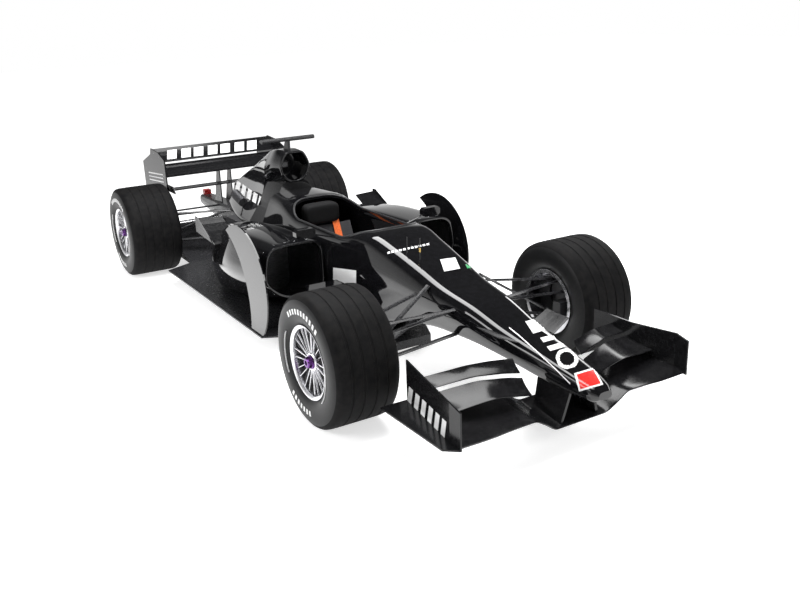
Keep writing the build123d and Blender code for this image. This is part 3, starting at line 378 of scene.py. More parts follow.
# Body skins
nose_rows = [
    (0.3287, 0.288, 0.302, 0.322, 0.030, 0.044, 0.034, 0.010),
    (0.318, 0.272, 0.298, 0.336, 0.050, 0.068, 0.056, 0.016),
    (0.287, 0.268, 0.315, 0.361, 0.066, 0.088, 0.078, 0.020),
    (0.223, 0.282, 0.345, 0.402, 0.088, 0.118, 0.100, 0.024),
    (0.143, 0.312, 0.390, 0.452, 0.118, 0.152, 0.128, 0.028),
]
tub_rows = [
    (NOSE_JOINT, 0.322, 0.430, 0.508, 0.138, 0.180, 0.150, 0.032),
    (0.0, 0.318, 0.455, 0.548, 0.158, 0.205, 0.168, 0.036),
    (-0.064, 0.296, 0.480, 0.604, 0.180, 0.228, 0.184, 0.040),
    (-0.134, 0.240, 0.500, 0.662, 0.206, 0.252, 0.204, 0.044),
    (-0.194, 0.180, 0.505, 0.700, 0.226, 0.274, 0.226, 0.044),
    (-0.318, FLOOR_TOP, 0.500, 0.662, 0.250, TUB_WAIST, 0.262, 0.044),
    (-0.440, FLOOR_TOP, 0.500, 0.664, 0.262, TUB_WAIST, 0.262, 0.044),
    (-0.530, FLOOR_TOP, 0.500, 0.716, 0.270, TUB_WAIST, 0.240, 0.044),
    (-0.610, FLOOR_TOP, 0.500, 0.716, 0.280, TUB_WAIST, 0.200, 0.044),
]
# One smooth run of rows through nose and tub, parted at the joint between them
whole = blended(nose_rows + tub_rows)
joint = next(i for i, row in enumerate(whole) if row[0] <= NOSE_JOINT + 0.0001)
nose = loft("nose_skin", [hull_ring(row) for row in whole[:joint + 1]], black, CAR, slot="body_black")
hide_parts("nose_cone")
tub = loft("tub_skin", [hull_ring(row) for row in whole[joint:]], black, CAR, slot="body_black")
# The tub is hollow between two stations, and open on top from the cockpit's floor up
hollow_rear, hollow_front = -0.56, -0.06
cockpit_floor, above_all = 0.36, 1.2
cavity = [row for row in blended(tub_rows) if hollow_rear < row[0] < hollow_front]
carve(tub, loft("tub_cut", [hull_ring(row, WALL) for row in cavity], black, None))
front, rear, half, nose_half = station(-0.205), station(-0.515), 0.250 * HALF_WIDTH, 0.150 * HALF_WIDTH
cockpit_outline = [(front, nose_half), (front - nose_half, half), (rear + nose_half, half), (rear, nose_half),
                   (rear, -nose_half), (rear + nose_half, -half), (front - nose_half, -half), (front, -nose_half)]
cockpit_line = rounded(cockpit_outline, 0.09, 6)
carve(tub, piece("opening_cut", *prism(cockpit_line, cockpit_floor, above_all), black, None))
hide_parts("monocoque")

pod_rows = [
    (-0.318, 0.300, 0.430, 0.617, 0.600, 0.722, 0.690),
    (-0.462, 0.200, 0.400, 0.606, 0.640, 0.766, 0.700),
    (-0.605, 0.125, 0.330, 0.560, 0.640, 0.700, 0.610),
    (-0.732, FLOOR_TOP, 0.280, 0.470, 0.500, 0.550, 0.450),
    (-0.828, FLOOR_TOP, 0.240, 0.380, 0.385, 0.420, 0.370),
]


def pod_ring(row, side, inset=0.0):
    """Ring of a sidepod: flat beside the tub, full and round outboard."""
    x, low, waist, high, low_out, waist_out, high_out = row
    inner = TUB_WAIST * HALF_WIDTH + GAP + inset
    lo, wa, hi = (v * HALF_WIDTH - inset for v in (low_out, waist_out, high_out))
    outline = [(inner, low + inset), (lo, low + inset), (wa, waist - 0.03), (wa, waist + 0.05),
               (hi, high - inset), ((inner + hi) / 2, high - inset + 0.006), (inner, high - inset)]
    return [Vector((station(x), side * p.x, p.y)) for p in rounded(outline, 0.075, 6)]


for side, name in SIDES:
    rows = blended(pod_rows, 7)
    pod = shell(f"sidepod_{name}_skin", [pod_ring(row, side) for row in rows],
                [pod_ring(row, side, WALL) for row in rows[:15]], black, CAR, "body_black")
    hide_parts(f"sidepod_{name}")

airbox_rows = [
    (-0.606, 0.780, 0.880, 0.984, 0.070, 0.134, 0.080, 0.040),
    (-0.640, 0.760, 0.880, 0.990, 0.090, 0.140, 0.080, 0.040),
    (-0.690, 0.716, 0.850, 0.968, 0.110, 0.130, 0.060, 0.036),
]
rows = blended(airbox_rows)
airbox = shell("airbox_skin", [hull_ring(row, 0, 0.0) for row in rows],
               [hull_ring(row, WALL, 0.0) for row in rows[:7]], black, CAR, "body_black")
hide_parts("airbox")
cover_rows = [
    (-0.690, 0.470, 0.620, 0.968, 0.306, 0.172, 0.060, 0.030),
    (-0.770, 0.470, 0.580, 0.858, 0.270, 0.130, 0.044, 0.026),
    (-0.860, 0.470, 0.550, 0.742, 0.190, 0.090, 0.030, 0.018),
    (-0.955, 0.470, 0.520, 0.618, 0.090, 0.054, 0.020, 0.012),
]
cover = loft("engine_cover_skin", [hull_ring(row, 0, 0.10) for row in blended(cover_rows)], black, CAR,
             slot="body_black")
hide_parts("engine_cover")

# Finishes of the nodes that keep their own shape
kept = {
    "roll_hoop": black, "camera_pod": satin, "gearbox": carbon, "floor": carbon, "diffuser": carbon,
    "plank": wood, "radiators": fins, "engine_block": dark_alloy, "front_wing_endplates": wing_black,
    "wing_pylons": wing_black, "rear_wing_main": wing_black, "rear_wing_flap": wing_black,
    "rear_wing_endplates": wing_black, "rear_wing_pylons": carbon, "nose_winglets": wing_black,
    "turning_vanes": black, "mirrors": black, "lower_rear_wing": wing_black, "flip_ups": wing_black,
    "barge_boards": black, "driveshafts": steel, "front_wing_main": wing_black, "front_wing_flaps": wing_black,
}
for corner in ("front_left", "front_right", "rear_left", "rear_right"):
    kept[corner + "_upright"] = satin
    kept[corner + "_links"] = carbon
for name, material in kept.items():
    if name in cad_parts:
        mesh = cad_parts[name].data
        mesh.materials.clear()
        mesh.materials.append(material)
        shade(mesh, 38)

# Front wing skins
# Endplate's thickness, and its line in plan as shares
plate_wall = 0.008
plate_line = [(0.287, 0.727), (0.2634, 0.728), (0.189, 0.672), (0.117, 0.634)]


def plate_inner(x):
    """Inner face of the endplate at a station, in metres across."""
    points = [(station(a), b * HALF_WIDTH - plate_wall - GAP) for a, b in plate_line]
    if x >= points[0][0]:
        return points[0][1]
    for (xa, ya), (xb, yb) in zip(points, points[1:]):
        if xb <= x <= xa:
            return ya + (yb - ya) * (xa - x) / (xa - xb)
    return points[-1][1]


# Wing section: share of the chord, and shares of the thickness and of the camber there
profile = [(0.0, 0.0, 0.0), (0.012, 0.05, 0.20), (0.05, 0.19, 0.34), (0.13, 0.45, 0.45), (0.27, 0.78, 0.50),
           (0.45, 0.98, 0.49), (0.62, 0.98, 0.40), (0.80, 0.66, 0.26), (0.93, 0.26, 0.13), (1.0, 0.0, 0.07)]


def wing_ring(row, side, thickness, camber):
    """Ring of a wing: cambered profile with a round nose, cut off at the endplate."""
    y, lead_x, lead_z, trail_x, trail_z = row
    lead, trail = Vector((station(lead_x), lead_z)), Vector((station(trail_x), trail_z))
    across = Vector((trail.y - lead.y, lead.x - trail.x)).normalized()
    upper = [lead + (trail - lead) * t + across * (thickness * h - camber * b) for t, b, h in profile]
    lower = [lead + (trail - lead) * t - across * (thickness * h + camber * b) for t, b, h in profile[1:]]
    return [Vector((p.x, side * min(abs(y) * HALF_WIDTH, plate_inner(p.x)), p.y)) for p in upper + lower[::-1]]


def wing(name, thickness, camber, rows, node_name=None):
    """Wing skin on both sides of the middle, smooth across its span."""
    shapes = [skin([wing_ring(row, side, thickness, camber) for row in blended(rows, 5)]) for side in (1, -1)]
    made = piece(name, *merged(shapes), wing_black, CAR, slot="body_black")
    if node_name:
        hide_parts(node_name)


# Rows of the wings: place across, leading edge's station and level, trailing edge's station and level
wing("main_plane_skin", 0.020, 0.012, [
    (0.0, 0.286, 0.134, 0.205, 0.180),
    (0.150, 0.286, 0.134, 0.205, 0.180),
    (0.230, 0.290, 0.178, 0.203, 0.212),
    (0.310, 0.290, 0.212, 0.200, 0.232),
    (0.430, 0.288, 0.206, 0.197, 0.234),
    (0.560, 0.286, 0.196, 0.195, 0.232),
    (0.740, 0.286, 0.198, 0.195, 0.236),
], "front_wing_main")
wing("lower_flap_skin", 0.014, 0.010, [
    (0.200, 0.246, 0.256, 0.224, 0.318),
    (0.300, 0.246, 0.276, 0.216, 0.330),
    (0.400, 0.243, 0.288, 0.206, 0.332),
    (0.500, 0.236, 0.276, 0.192, 0.314),
    (0.600, 0.230, 0.262, 0.182, 0.298),
    (0.740, 0.226, 0.256, 0.178, 0.292),
], "front_wing_flaps")
wing("upper_flap_skin", 0.011, 0.007, [
    (0.200, 0.220, 0.334, 0.203, 0.388),
    (0.300, 0.212, 0.345, 0.194, 0.390),
    (0.400, 0.202, 0.347, 0.182, 0.382),
    (0.500, 0.188, 0.329, 0.164, 0.356),
    (0.600, 0.178, 0.313, 0.152, 0.338),
    (0.740, 0.174, 0.307, 0.148, 0.332),
])

# Wheels
wheel_rows = [
    ("front_left", 1, FRONT_AXLE, 0.327, 0.345), ("front_right", -1, FRONT_AXLE, 0.327, 0.345),
    ("rear_left", 1, REAR_AXLE, 0.330, 0.380), ("rear_right", -1, REAR_AXLE, 0.330, 0.380),
]
GROOVE, GROOVE_DEPTH = 0.007, 0.0035
# Marks on the tyre's wall: groups of plain dashes, as start angle, count and step in degrees
dash_rows = [(52, 11, 7.0), (232, 7, 7.0)]
# Spokes: pairs round the wheel, and the lean in degrees to each side of a pair's middle, at hub and at barrel
SPOKE_PAIRS, LEAN_AT_HUB, LEAN_AT_BARREL = 10, 11, 7.5
for name, side, axle_x, radius, width in wheel_rows:
    body = name + "_wheel"
    h = width / 2
    centre = Vector((axle_x, side * (HALF_WIDTH - h), radius))
    seat = h - RIM_INSET - FLANGE_WIDTH - GAP
    low, wall = RIM_SEAT + (radius - RIM_SEAT) / 3, RIM_SEAT + (radius - RIM_SEAT) * 0.70
    half_line = [(seat, RIM_SEAT + GAP), (seat, RIM_FLANGE), (h - 0.012, 0.196), (h - 0.002, low),
                 (h - 0.0008, (low + wall) / 2), (h - 0.002, wall), (h - 0.009, wall + 0.022),
                 (h - 0.020, radius - 0.010), (h - 0.030, radius - 0.0035), (h - 0.046, radius - 0.001)]
    lanes = [0.102, 0.036, -0.036, -0.102] if width > 0.35 else [0.090, 0.031, -0.031, -0.090]
    tread = [(lane + share * GROOVE, radius - depth) for lane in lanes
             for share, depth in ((1, 0), (0.65, GROOVE_DEPTH), (-0.65, GROOVE_DEPTH), (-1, 0))]
    line = half_line + tread + [(-y, r) for y, r in reversed(half_line)]
    tyre = piece(name + "_tyre_skin", *lathe(line, centre, side, 128), rubber, body, 28, "tyre_rubber")
    tyre.data.materials.append(wall_rubber)
    for face in tyre.data.polygons:
        r = math.hypot(face.center.x - centre.x, face.center.z - centre.z)
        if r < wall + 0.015 and abs(abs(face.center.y - centre.y)) > seat - 0.01:
            face.material_index = 1
    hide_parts(name + "_tyre")
    dash = [(h, 0.234), (h, 0.260), (h - 0.0020, 0.260), (h - 0.0020, 0.234)]
    marks = [lathe(dash, centre, side, 4, start + k * step, step * 0.5)
             for start, count, step in dash_rows for k in range(count)]
    thin = [(h - 0.0002, 0.212), (h - 0.0002, 0.2145), (h - 0.0050, 0.2145), (h - 0.0050, 0.212)]
    marks += [lathe(thin, centre, side, 24, start, 60) for start in (150, 318)]
    piece(name + "_wall_marks", *merged(marks), white, body, 30)

    rim_half = h - RIM_INSET
    out = rim_half - 0.022
    barrel = [(-rim_half, 0.160), (-rim_half, RIM_FLANGE), (-rim_half + FLANGE_WIDTH, RIM_FLANGE),
              (-rim_half + 0.010, RIM_SEAT), (-0.05, RIM_SEAT), (-0.03, 0.164), (0.03, 0.164), (0.05, RIM_SEAT),
              (rim_half - 0.010, RIM_SEAT), (rim_half - FLANGE_WIDTH, RIM_FLANGE), (rim_half - 0.001, RIM_FLANGE),
              (rim_half, 0.179), (rim_half - 0.002, 0.172), (rim_half - 0.008, 0.163), (rim_half - 0.020, 0.160),
              (rim_half - 0.05, 0.158), (-rim_half + 0.05, 0.158)]
    hub = [(out - 0.070, 0.0245), (out - 0.070, 0.046), (out - 0.018, 0.050), (out - 0.004, 0.047), (out, 0.042),
           (out, 0.030), (out - 0.026, 0.030), (out - 0.026, 0.0245)]
    shapes = [lathe(barrel, centre, side, 96), lathe(hub, centre, side, 48)]
    for pair in range(SPOKE_PAIRS):
        for lean in (-1, 1):
            middle = 360 / SPOKE_PAIRS * pair
            ends = ((0.041, LEAN_AT_HUB, out - 0.013), (0.163, LEAN_AT_BARREL, rim_half - 0.024))
            start, end = (centre + on_circle(AHEAD, UP, r, middle + lean * turn) + LEFT * (side * y)
                          for r, turn, y in ends)
            shapes.append(bar(start, end, 0.0080, 0.020, 0.9, LEFT))
    rim = piece(name + "_rim_skin", *merged(shapes), alloy, body, 35, "rim_alloy")
    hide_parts(name + "_rim")
    nut = [(out - 0.002, 0.0), (out - 0.002, 0.034), (out + 0.004, 0.034), (out + 0.006, 0.029),
           (out + 0.020, 0.027), (out + 0.0255, 0.022), (out + 0.0255, 0.012), (out + 0.012, 0.010),
           (out + 0.012, 0.0)]
    piece(name + "_nut", *lathe(nut, centre, side, 12), anodised, body, 30)
    disc = [(out - 0.058, 0.058), (out - 0.058, 0.136), (out - 0.064, 0.139), (out - 0.064, 0.056)]
    # Painted shade: small dark films on the disc's outer face, darker than the disc, stand for drilled holes
    hole_shades = []
    for k in range(36):
        for r in (0.082, 0.100, 0.118):
            spot = centre + on_circle(AHEAD, UP, r, 10 * k + math.degrees(2 * r)) + LEFT * (side * (out - 0.0579))
            ring = [spot + on_circle(AHEAD, UP, 0.0028, 60 * q) for q in range(6)]
            hole_shades.append(skin([ring, [p - LEFT * (side * 0.0006) for p in ring]]))
    piece(name + "_brake_disc", *lathe(disc, centre, side, 72), disc_carbon, body, 30)
    piece(name + "_painted_hole_shade", *merged(hole_shades), satin, body, 30)

# Cockpit
# Seat: a shaped shell with a quilted pad
SEAT_STEPS, SEAT_ACROSS = 36, 17
seat_line = [at(-0.300, 0, 0.176), at(-0.360, 0, 0.152), at(-0.420, 0, 0.146), at(-0.446, 0, 0.190),
             at(-0.462, 0, 0.320), at(-0.480, 0, 0.440), at(-0.495, 0, 0.545)]


def seat_rings(lift):
    """Cross sections of the seat, dished in the middle, with sewn channels across it."""
    rings = []
    for i in range(SEAT_STEPS + 1):
        t = i / SEAT_STEPS * (len(seat_line) - 1)
        k = min(int(t), len(seat_line) - 2)
        p = seat_line[k].lerp(seat_line[k + 1], t - k)
        run = (seat_line[k + 1] - seat_line[k]).normalized()
        up = Vector((abs(run.z), 0, abs(run.x)))
        channel = 0.0025 * abs(math.sin(math.pi * i / 4.0))
        ring = []
        for j in range(SEAT_ACROSS):
            s = 2 * j / (SEAT_ACROSS - 1) - 1
            dish = 0.045 * abs(s) ** 3
            crown = lift * (1 - s * s) ** 0.35 if abs(s) < 1 else 0
            ring.append(p + Vector((0, s * 0.185, 0)) + up * (dish + crown + channel * (1 - s * s)))
        rings.append(ring)
    return rings


over, under = seat_rings(0.012), seat_rings(0.0)
verts = [p for ring in over for p in ring] + [p - Vector((0.004, 0, 0.006)) for ring in under for p in ring]
count, total = SEAT_ACROSS, (SEAT_STEPS + 1) * SEAT_ACROSS
faces = []
for i in range(SEAT_STEPS):
    for a in range(i * count, (i + 1) * count - 1):
        b = a + total
        faces += [(a, a + 1, a + count + 1, a + count), (b, b + count, b + count + 1, b + 1)]
    faces += [(a, a + count, a + count + total, a + total) for a in (i * count, (i + 1) * count - 1)]
faces += [(a, a + 1, a + 1 + total, a + total) for a in (*range(count - 1), *range(total - count, total - 1))]
seat_pad = piece("seat_pad", verts, faces, fabric, CAR, 60, "seat_shell")
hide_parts("seat")


def cushion(name, low, high, material, body, power=5.0, seam=0.004):
    """Crowned closed pad in a box, sides drawn in between its corners, with a sewn seam round its middle."""
    middle, reach = (low + high) / 2, (high - low) / 2
    mesh = bmesh.new()
    bmesh.ops.create_cube(mesh, size=2.0)
    bmesh.ops.subdivide_edges(mesh, edges=mesh.edges, cuts=12, use_grid_fill=True)
    for v in mesh.verts:
        p = v.co
        norm = (abs(p.x) ** power + abs(p.y) ** power + abs(p.z) ** power) ** (1 / power)
        q = p / norm
        pull = 1 - 0.06 * (1 - abs(q.y)) * (1 - abs(q.z))
        q = Vector((q.x * pull, q.y, q.z))
        groove = seam * max(0.0, 1 - abs(q.x) / 0.06)
        q = Vector((q.x * reach.x, q.y * (reach.y - groove), q.z * (reach.z - groove)))
        v.co = middle + q
    obj_mesh = bpy.data.meshes.new(name)
    mesh.to_mesh(obj_mesh)
    mesh.free()
    shade(obj_mesh, 60)
    obj = placed(name, obj_mesh, material, body)
    return obj


low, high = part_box("headrest")
headrest = cushion("headrest_pad", low, high, suede, CAR)
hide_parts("headrest")

# Padded edge round the cockpit opening, on the tub's own rim
bpy.context.view_layer.update()


def surface_of(*objs):
    """Search tree of the shown surface of several pieces."""
    verts, faces = [], []
    for obj in objs:
        base = len(verts)
        verts += [obj.matrix_world @ v.co for v in obj.data.vertices]
        faces += [tuple(i + base for i in face.vertices) for face in obj.data.polygons]
    return BVHTree.FromPolygons(verts, faces)


tub_tree = surface_of(tub)
rim_points = []
for x, y in cockpit_line:
    grow = Vector((x - (front + rear) / 2, y)).normalized() * 0.006
    hit = tub_tree.ray_cast(Vector((x + grow.x, y + grow.y, above_all)), -UP)[0]
    rim_points.append(hit if hit else Vector((x, y, 0.66)))
rim_points.append(rim_points[0])
piece("cockpit_edge", *tube(rim_points, 0.007, 8), satin, CAR, 60)

# Shoulder straps, laid on the seat
straps = []
for side in (1, -1):
    path = [at(-0.493, 0.10 * side, 0.575), at(-0.482, 0.10 * side, 0.50), at(-0.462, 0.09 * side, 0.36),
            at(-0.444, 0.075 * side, 0.235), at(-0.428, 0.05 * side, 0.186)]
    for p, q in zip(path, path[1:]):
        run = (q - p).normalized()
        face = Vector((0.93, 0, 0.37))
        across = run.cross(face).normalized() * 0.024
        out = face * 0.012
        v = [p - across + out, p + across + out, q + across + out, q - across + out]
        v += [w + face * 0.002 for w in v]
        straps.append((v, [(0, 1, 2, 3), (4, 5, 6, 7), (0, 1, 5, 4), (1, 2, 6, 5), (2, 3, 7, 6), (3, 0, 4, 7)]))
piece("shoulder_straps", *merged(straps), orange, CAR, 50)

# Steering wheel: rim with grips, centre plate, keys and a display, on its column
column_start = at(-0.170, 0, 0.500)
wheel_centre = at(-0.262, 0, 0.560)
along = (wheel_centre - column_start).normalized()
face_up = along.cross(LEFT)
face_up = face_up if face_up.z > 0 else -face_up


def on_wheel(y, z, depth):
    """Point on the steering wheel: across, up its face, and towards the driver."""
    return wheel_centre + LEFT * y + face_up * z + along * depth


def wheel_prism(outline, back, face):
    """Plate parallel to the steering wheel's face."""
    return skin([[on_wheel(y, z, depth) for y, z in outline] for depth in (back, face)])


plate = rounded([(0.10, 0.045), (-0.10, 0.045), (-0.10, -0.050), (-0.04, -0.078), (0.04, -0.078), (0.10, -0.050)],
                0.03, 4)
wheel_plate = piece("wheel_plate", *wheel_prism([(p.x, p.y) for p in plate], 0.004, 0.020), carbon,
                    "steering_wheel", 40, "steering_grip")
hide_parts("steering_wheel")
grips = []
for side in (1, -1):
    path = [(0.085, 0.074), (0.112, 0.070), (0.124, 0.045), (0.120, 0.0), (0.118, -0.040), (0.100, -0.062)]
    points = [on_wheel(side * y, z, 0.015) for y, z in path]
    grips.append(tube(points, [0.010, 0.013, 0.0145, 0.0135, 0.0145, 0.011], 12))
points = [on_wheel(y, 0.074, 0.015) for y in (-0.085, -0.04, 0.0, 0.04, 0.085)]
grips.append(tube(points, 0.009, 12))
piece("wheel_grips", *merged(grips), suede, "steering_wheel", 60)
display = pane(0, 0.023, 0.05, 0.017, 0.006)
piece("wheel_display", *wheel_prism(display, 0.020, 0.0225), dark_glass, "steering_wheel", 40)
keys = {red: [(-0.078, 0.024)], green: [(0.078, 0.024)], white: [(-0.078, -0.004), (0.078, -0.004)],
        gold: [(-0.032, -0.030), (0.0, -0.034), (0.032, -0.030)]}
for number, (material, places) in enumerate(keys.items()):
    corners = [on_circle(Vector((1, 0)), Vector((0, 1)), 0.007, 30 * k) for k in range(12)]
    shapes = [wheel_prism([(y + p.x, z + p.y) for p in corners], 0.018, 0.027) for y, z in places]
    piece(f"wheel_keys_{number}", *merged(shapes), material, "steering_wheel", 40)
piece("steering_column", *tube([column_start + along * 0.002, wheel_centre + along * 0.006], 0.0135, 24), steel,
      "steering_wheel", 40)

# Camera
# Solved from the photograph: focal length and middle of the image in its pixels, place and angles
IMAGE_WIDTH, SENSOR_WIDTH, FOCAL, MIDDLE_U, MIDDLE_V = 800, 36.0, 887.2, 400.8, 299.5
camera_place = Vector((4.853, -2.476, 1.903))
yaw, pitch, roll = (math.radians(a) for a in (148.92, -18.59, -2.14))
forward = Vector((math.cos(pitch) * math.cos(yaw), math.cos(pitch) * math.sin(yaw), math.sin(pitch)))
level = forward.cross(UP).normalized()
above = level.cross(forward)
right = level * math.cos(roll) + above * math.sin(roll)
up = above * math.cos(roll) - level * math.sin(roll)
camera_data = bpy.data.cameras.new("camera")
camera_data.sensor_width = SENSOR_WIDTH
camera_data.lens = SENSOR_WIDTH * FOCAL / IMAGE_WIDTH
camera = bpy.data.objects.new("camera", camera_data)
bpy.context.scene.collection.objects.link(camera)
camera.matrix_world = Matrix.Translation(camera_place) @ Matrix((right, up, -forward)).transposed().to_4x4()
bpy.context.scene.camera = camera

# Corners of the films in the photograph, in its pixels, in order round each film
CORNERS = {
    "tip_plate_border": [(575, 373), (595, 367), (604, 384), (580, 391)],
    "tip_plate": [(577.5, 374.3), (594, 369.3), (601.5, 383), (581.5, 388.6)],
    "nose_ring": [(553, 351), (574, 345), (583, 365), (561, 371.5)],
    "nose_bars_low": [(541, 337.5), (556, 333.5), (566, 346), (551, 350.5)],
    "nose_block_high": [(526, 321), (540, 317.5), (548, 329), (534, 333)],
    "deck_block": [(441, 259), (456, 257), (461, 268), (445, 271)],
    "deck_dashes": [(388, 251.5), (431, 242.5), (431.5, 244.2), (388.5, 253.4)],
    "deck_patch": [(466, 264), (473, 263), (475, 267), (468, 268)],
    "rear_wing_band": [(168, 150), (262, 139), (262, 148), (168, 159)],
    "endplate_bars": [(410, 386), (450, 424), (448, 440), (408, 400)],
    "blank_plate": [(334, 267), (357, 270), (357, 287), (334, 284)],
    "cover_bars": [(238, 180), (266, 199), (264, 208), (236, 190)],
}
# A film's cell that is longer spans a step between two surfaces and is left out
LONGEST_CELL = 0.12


def sight(u, v):
    """Direction from the camera through a point of the 800 by 600 image."""
    return (forward + right * ((u - MIDDLE_U) / FOCAL) - up * ((v - MIDDLE_V) / FOCAL)).normalized()


def patch(name, tree, material, across=10, down=6, lift=0.0008, mirror=False, keep=None, corners=None):
    """Thin film on a surface where the photograph shows it: four corners in the image, laid on by rays."""
    a, b, c, d = (Vector(p) for p in corners or CORNERS[name])
    grid = {}
    for i in range(across + 1):
        for j in range(down + 1):
            p = a.lerp(b, i / across).lerp(d.lerp(c, i / across), j / down)
            ray = sight(p.x, p.y)
            hit, normal, _, _ = tree.ray_cast(camera_place, ray)
            if hit:
                normal = normal if normal.dot(ray) < 0 else -normal
                grid[i, j] = (hit + normal * lift, hit + normal * (lift * 0.25))
    cells = []
    for i in range(across):
        for j in range(down):
            spots = [(i, j), (i + 1, j), (i + 1, j + 1), (i, j + 1)]
            kept_here = not keep or keep((i + 0.5) / across, (j + 0.5) / down)
            if kept_here and all(s in grid for s in spots):
                points = [grid[s] for s in spots]
                if max((points[k][0] - points[k - 1][0]).length for k in range(4)) < LONGEST_CELL:
                    cells.append(points)
    if not cells:
        print("no surface for", name)
        return
    made = [skin([[Vector((p[layer].x, p[layer].y * sign, p[layer].z)) for p in points] for layer in (0, 1)])
            for sign in ((1, -1) if mirror else (1,)) for points in cells]
    piece(name, *merged(made), material, CAR, 50, film=True)


def dashed(count, share):
    """Test that keeps the given share of each of so many equal lengths, as dashes."""
    return lambda s, t: (s * count) % 1.0 < share


def inside_ring(s, t):
    """Part of a unit square between two circles."""
    r = math.hypot(s - 0.5, t - 0.5)
    return 0.33 < r < 0.48


nose_tree = surface_of(nose, tub)
patch("tip_plate_border", nose_tree, white, across=24, down=20)
patch("tip_plate", nose_tree, red, across=24,
      down=20, lift=0.0020)
patch("nose_ring", nose_tree, white, across=26, down=26,
      keep=inside_ring)
patch("nose_bars_low", nose_tree, white, across=12, down=12,
      keep=lambda s, t: t < 0.34 or t > 0.66)
patch("nose_block_high", nose_tree, white, across=14, down=8)
patch("deck_block", nose_tree, white, across=10, down=8)
patch("deck_dashes", nose_tree, white, across=33, down=1,
      keep=dashed(11, 0.62))
patch("deck_patch", nose_tree, green, across=4, down=3)
# Painted highlight along the nose: white films on its upper crease, where light catches the edge, copied to the far
# side; their points and width in the photograph, in pixels
highlight_width = 1.4
highlight_points = [(510, 326.5), (520, 334.5), (540, 352.5), (558, 369.5), (571, 382.5)]
for number, (p, q) in enumerate(zip(highlight_points, highlight_points[1:])):
    below = [(q[0], q[1] + highlight_width), (p[0], p[1] + highlight_width)]
    patch(f"nose_painted_highlight_{number}", nose_tree, white, across=14, down=1, mirror=True, corners=[p, q, *below])

# Rear wing band, endplate stripes, bolts
wing_tree = surface_of(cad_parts["rear_wing_flap"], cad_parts["rear_wing_main"])
patch("rear_wing_band", wing_tree, white, across=60, down=3,
      keep=dashed(7, 0.70))


def bolts(name, spots, normal, radius=0.005, height=0.0016):
    """Small domed fasteners standing on a flat surface."""
    u = normal.cross(UP if abs(normal.z) < 0.9 else AHEAD).normalized()
    w = normal.cross(u)
    steps = ((radius, 0.0), (radius * 0.9, height * 0.7), (radius * 0.45, height))
    shapes = [skin([[spot + on_circle(u, w, r, 45 * k) + normal * lift for k in range(8)] for r, lift in steps])
              for spot in spots]
    piece(name, *merged(shapes), steel, CAR, 40)


# Outer face of the rear endplates, and the bolts and stripes on it
rear_plate_face = 0.500
plate_bolts = [(-1.020, 0.790), (-1.045, 0.835), (-1.085, 0.850), (-1.105, 0.80), (-1.170, 0.70), (-1.170, 0.56),
               (-1.120, 0.46), (-1.075, 0.40), (-1.022, 0.62), (-1.022, 0.70)]
stripe_front, stripe_rear = station(-1.030), station(-1.150)
for side, name in SIDES:
    face_y = side * (rear_plate_face + GAP)
    bolts(f"endplate_bolts_{name}", [Vector((station(x), face_y, z)) for x, z in plate_bolts], LEFT * side)
    for number, (z, material) in enumerate(((0.700, white), (0.672, steel), (0.644, white))):
        outline = [(stripe_front, z), (stripe_rear, z - 0.030), (stripe_rear, z - 0.022), (stripe_front, z + 0.010)]
        stripe_film = prism(outline, face_y, face_y + side * 0.0007, "Y")
        piece(f"endplate_stripe_{name}_{number}", *stripe_film, material, CAR, 30)
    # Fasteners round the sidepod's mouth
    pod_tree = surface_of(bpy.data.objects[f"sidepod_{name}_skin"])
    mouth = Vector((station(-0.334), side * 0.47, 0.46))
    for k in range(9):
        ray = on_circle(LEFT * side, UP, 1, 22 * k - 50)
        hit, normal, _, _ = pod_tree.ray_cast(mouth + ray * 0.6, -ray)
        if hit:
            bolts(f"pod_bolt_{name}_{k}", [hit], normal, radius=0.006)

# Front endplates: plain slanted bars where the photograph has a mark
plate_tree = surface_of(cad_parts["front_wing_endplates"])
patch("endplate_bars", plate_tree, white, across=30, down=4,
      keep=dashed(6, 0.58), mirror=True)

# Blank plate beside the tub
patch("blank_plate", surface_of(tub), white, across=10, down=8)

# Small fittings
# Two probes on the deck, the second with a gold band: the foot's pixel in the photograph, and the height
probes = ((408, 252, 0.085), (421, 259, 0.115))
for number, (u, v, height) in enumerate(probes):
    foot = nose_tree.ray_cast(camera_place, sight(u, v))[0]
    if foot:
        line = [foot - UP * 0.002, foot + UP * (height * 0.5), foot + Vector((0.002, 0, height))]
        piece(f"deck_probe_{number}", *tube(line, [0.0045, 0.0032, 0.0024], 10), satin, CAR, 60)
        if number:
            band = [foot + UP * (height * 0.35), foot + UP * (height * 0.55)]
            piece("probe_band", *tube(band, 0.0048, 12), gold, CAR, 60)
# Mirror glasses on the mirrors' rear faces
mirror_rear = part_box("mirrors")[0].x
for side, name in SIDES:
    glass_line = pane(side * 0.423, 0.690, 0.052, 0.020, 0.012, 4)
    glass_pane = prism(glass_line, mirror_rear - 0.0002, mirror_rear - 0.0015, "X")
    piece(f"mirror_glass_{name}", *glass_pane, glass, CAR, 40)
# Plain blocks along the engine cover
patch("cover_bars", surface_of(cover), white, across=30, down=4,
      keep=dashed(5, 0.60))
# Exhaust outlets on the engine cover's shoulders: radii and shares of the pipe's run, out and back inside
pipe = ((0.034, 0.0), (0.036, 1.0), (0.032, 1.0), (0.030, 0.25))
for side, name in SIDES:
    start, run = Vector((station(-0.800), side * 0.150, 0.56)), Vector((-0.13, side * 0.006, 0.045))
    u = run.cross(UP).normalized()
    w = u.cross(run).normalized()
    rings = [[start + run * t + on_circle(u, w, r, 15 * k) for k in range(24)] for r, t in pipe]
    loft(f"exhaust_{name}", rings, dark_alloy, CAR, smooth=50)
# Rain lamp over the crash structure's end
lamp_x = station(-1.1911)
lamp_line = pane(0, 0.432, 0.030, 0.020, 0.006)
piece("rain_lamp", *prism(lamp_line, lamp_x + 0.0005, lamp_x + 0.045, "X"), lamp_red, CAR, 40)

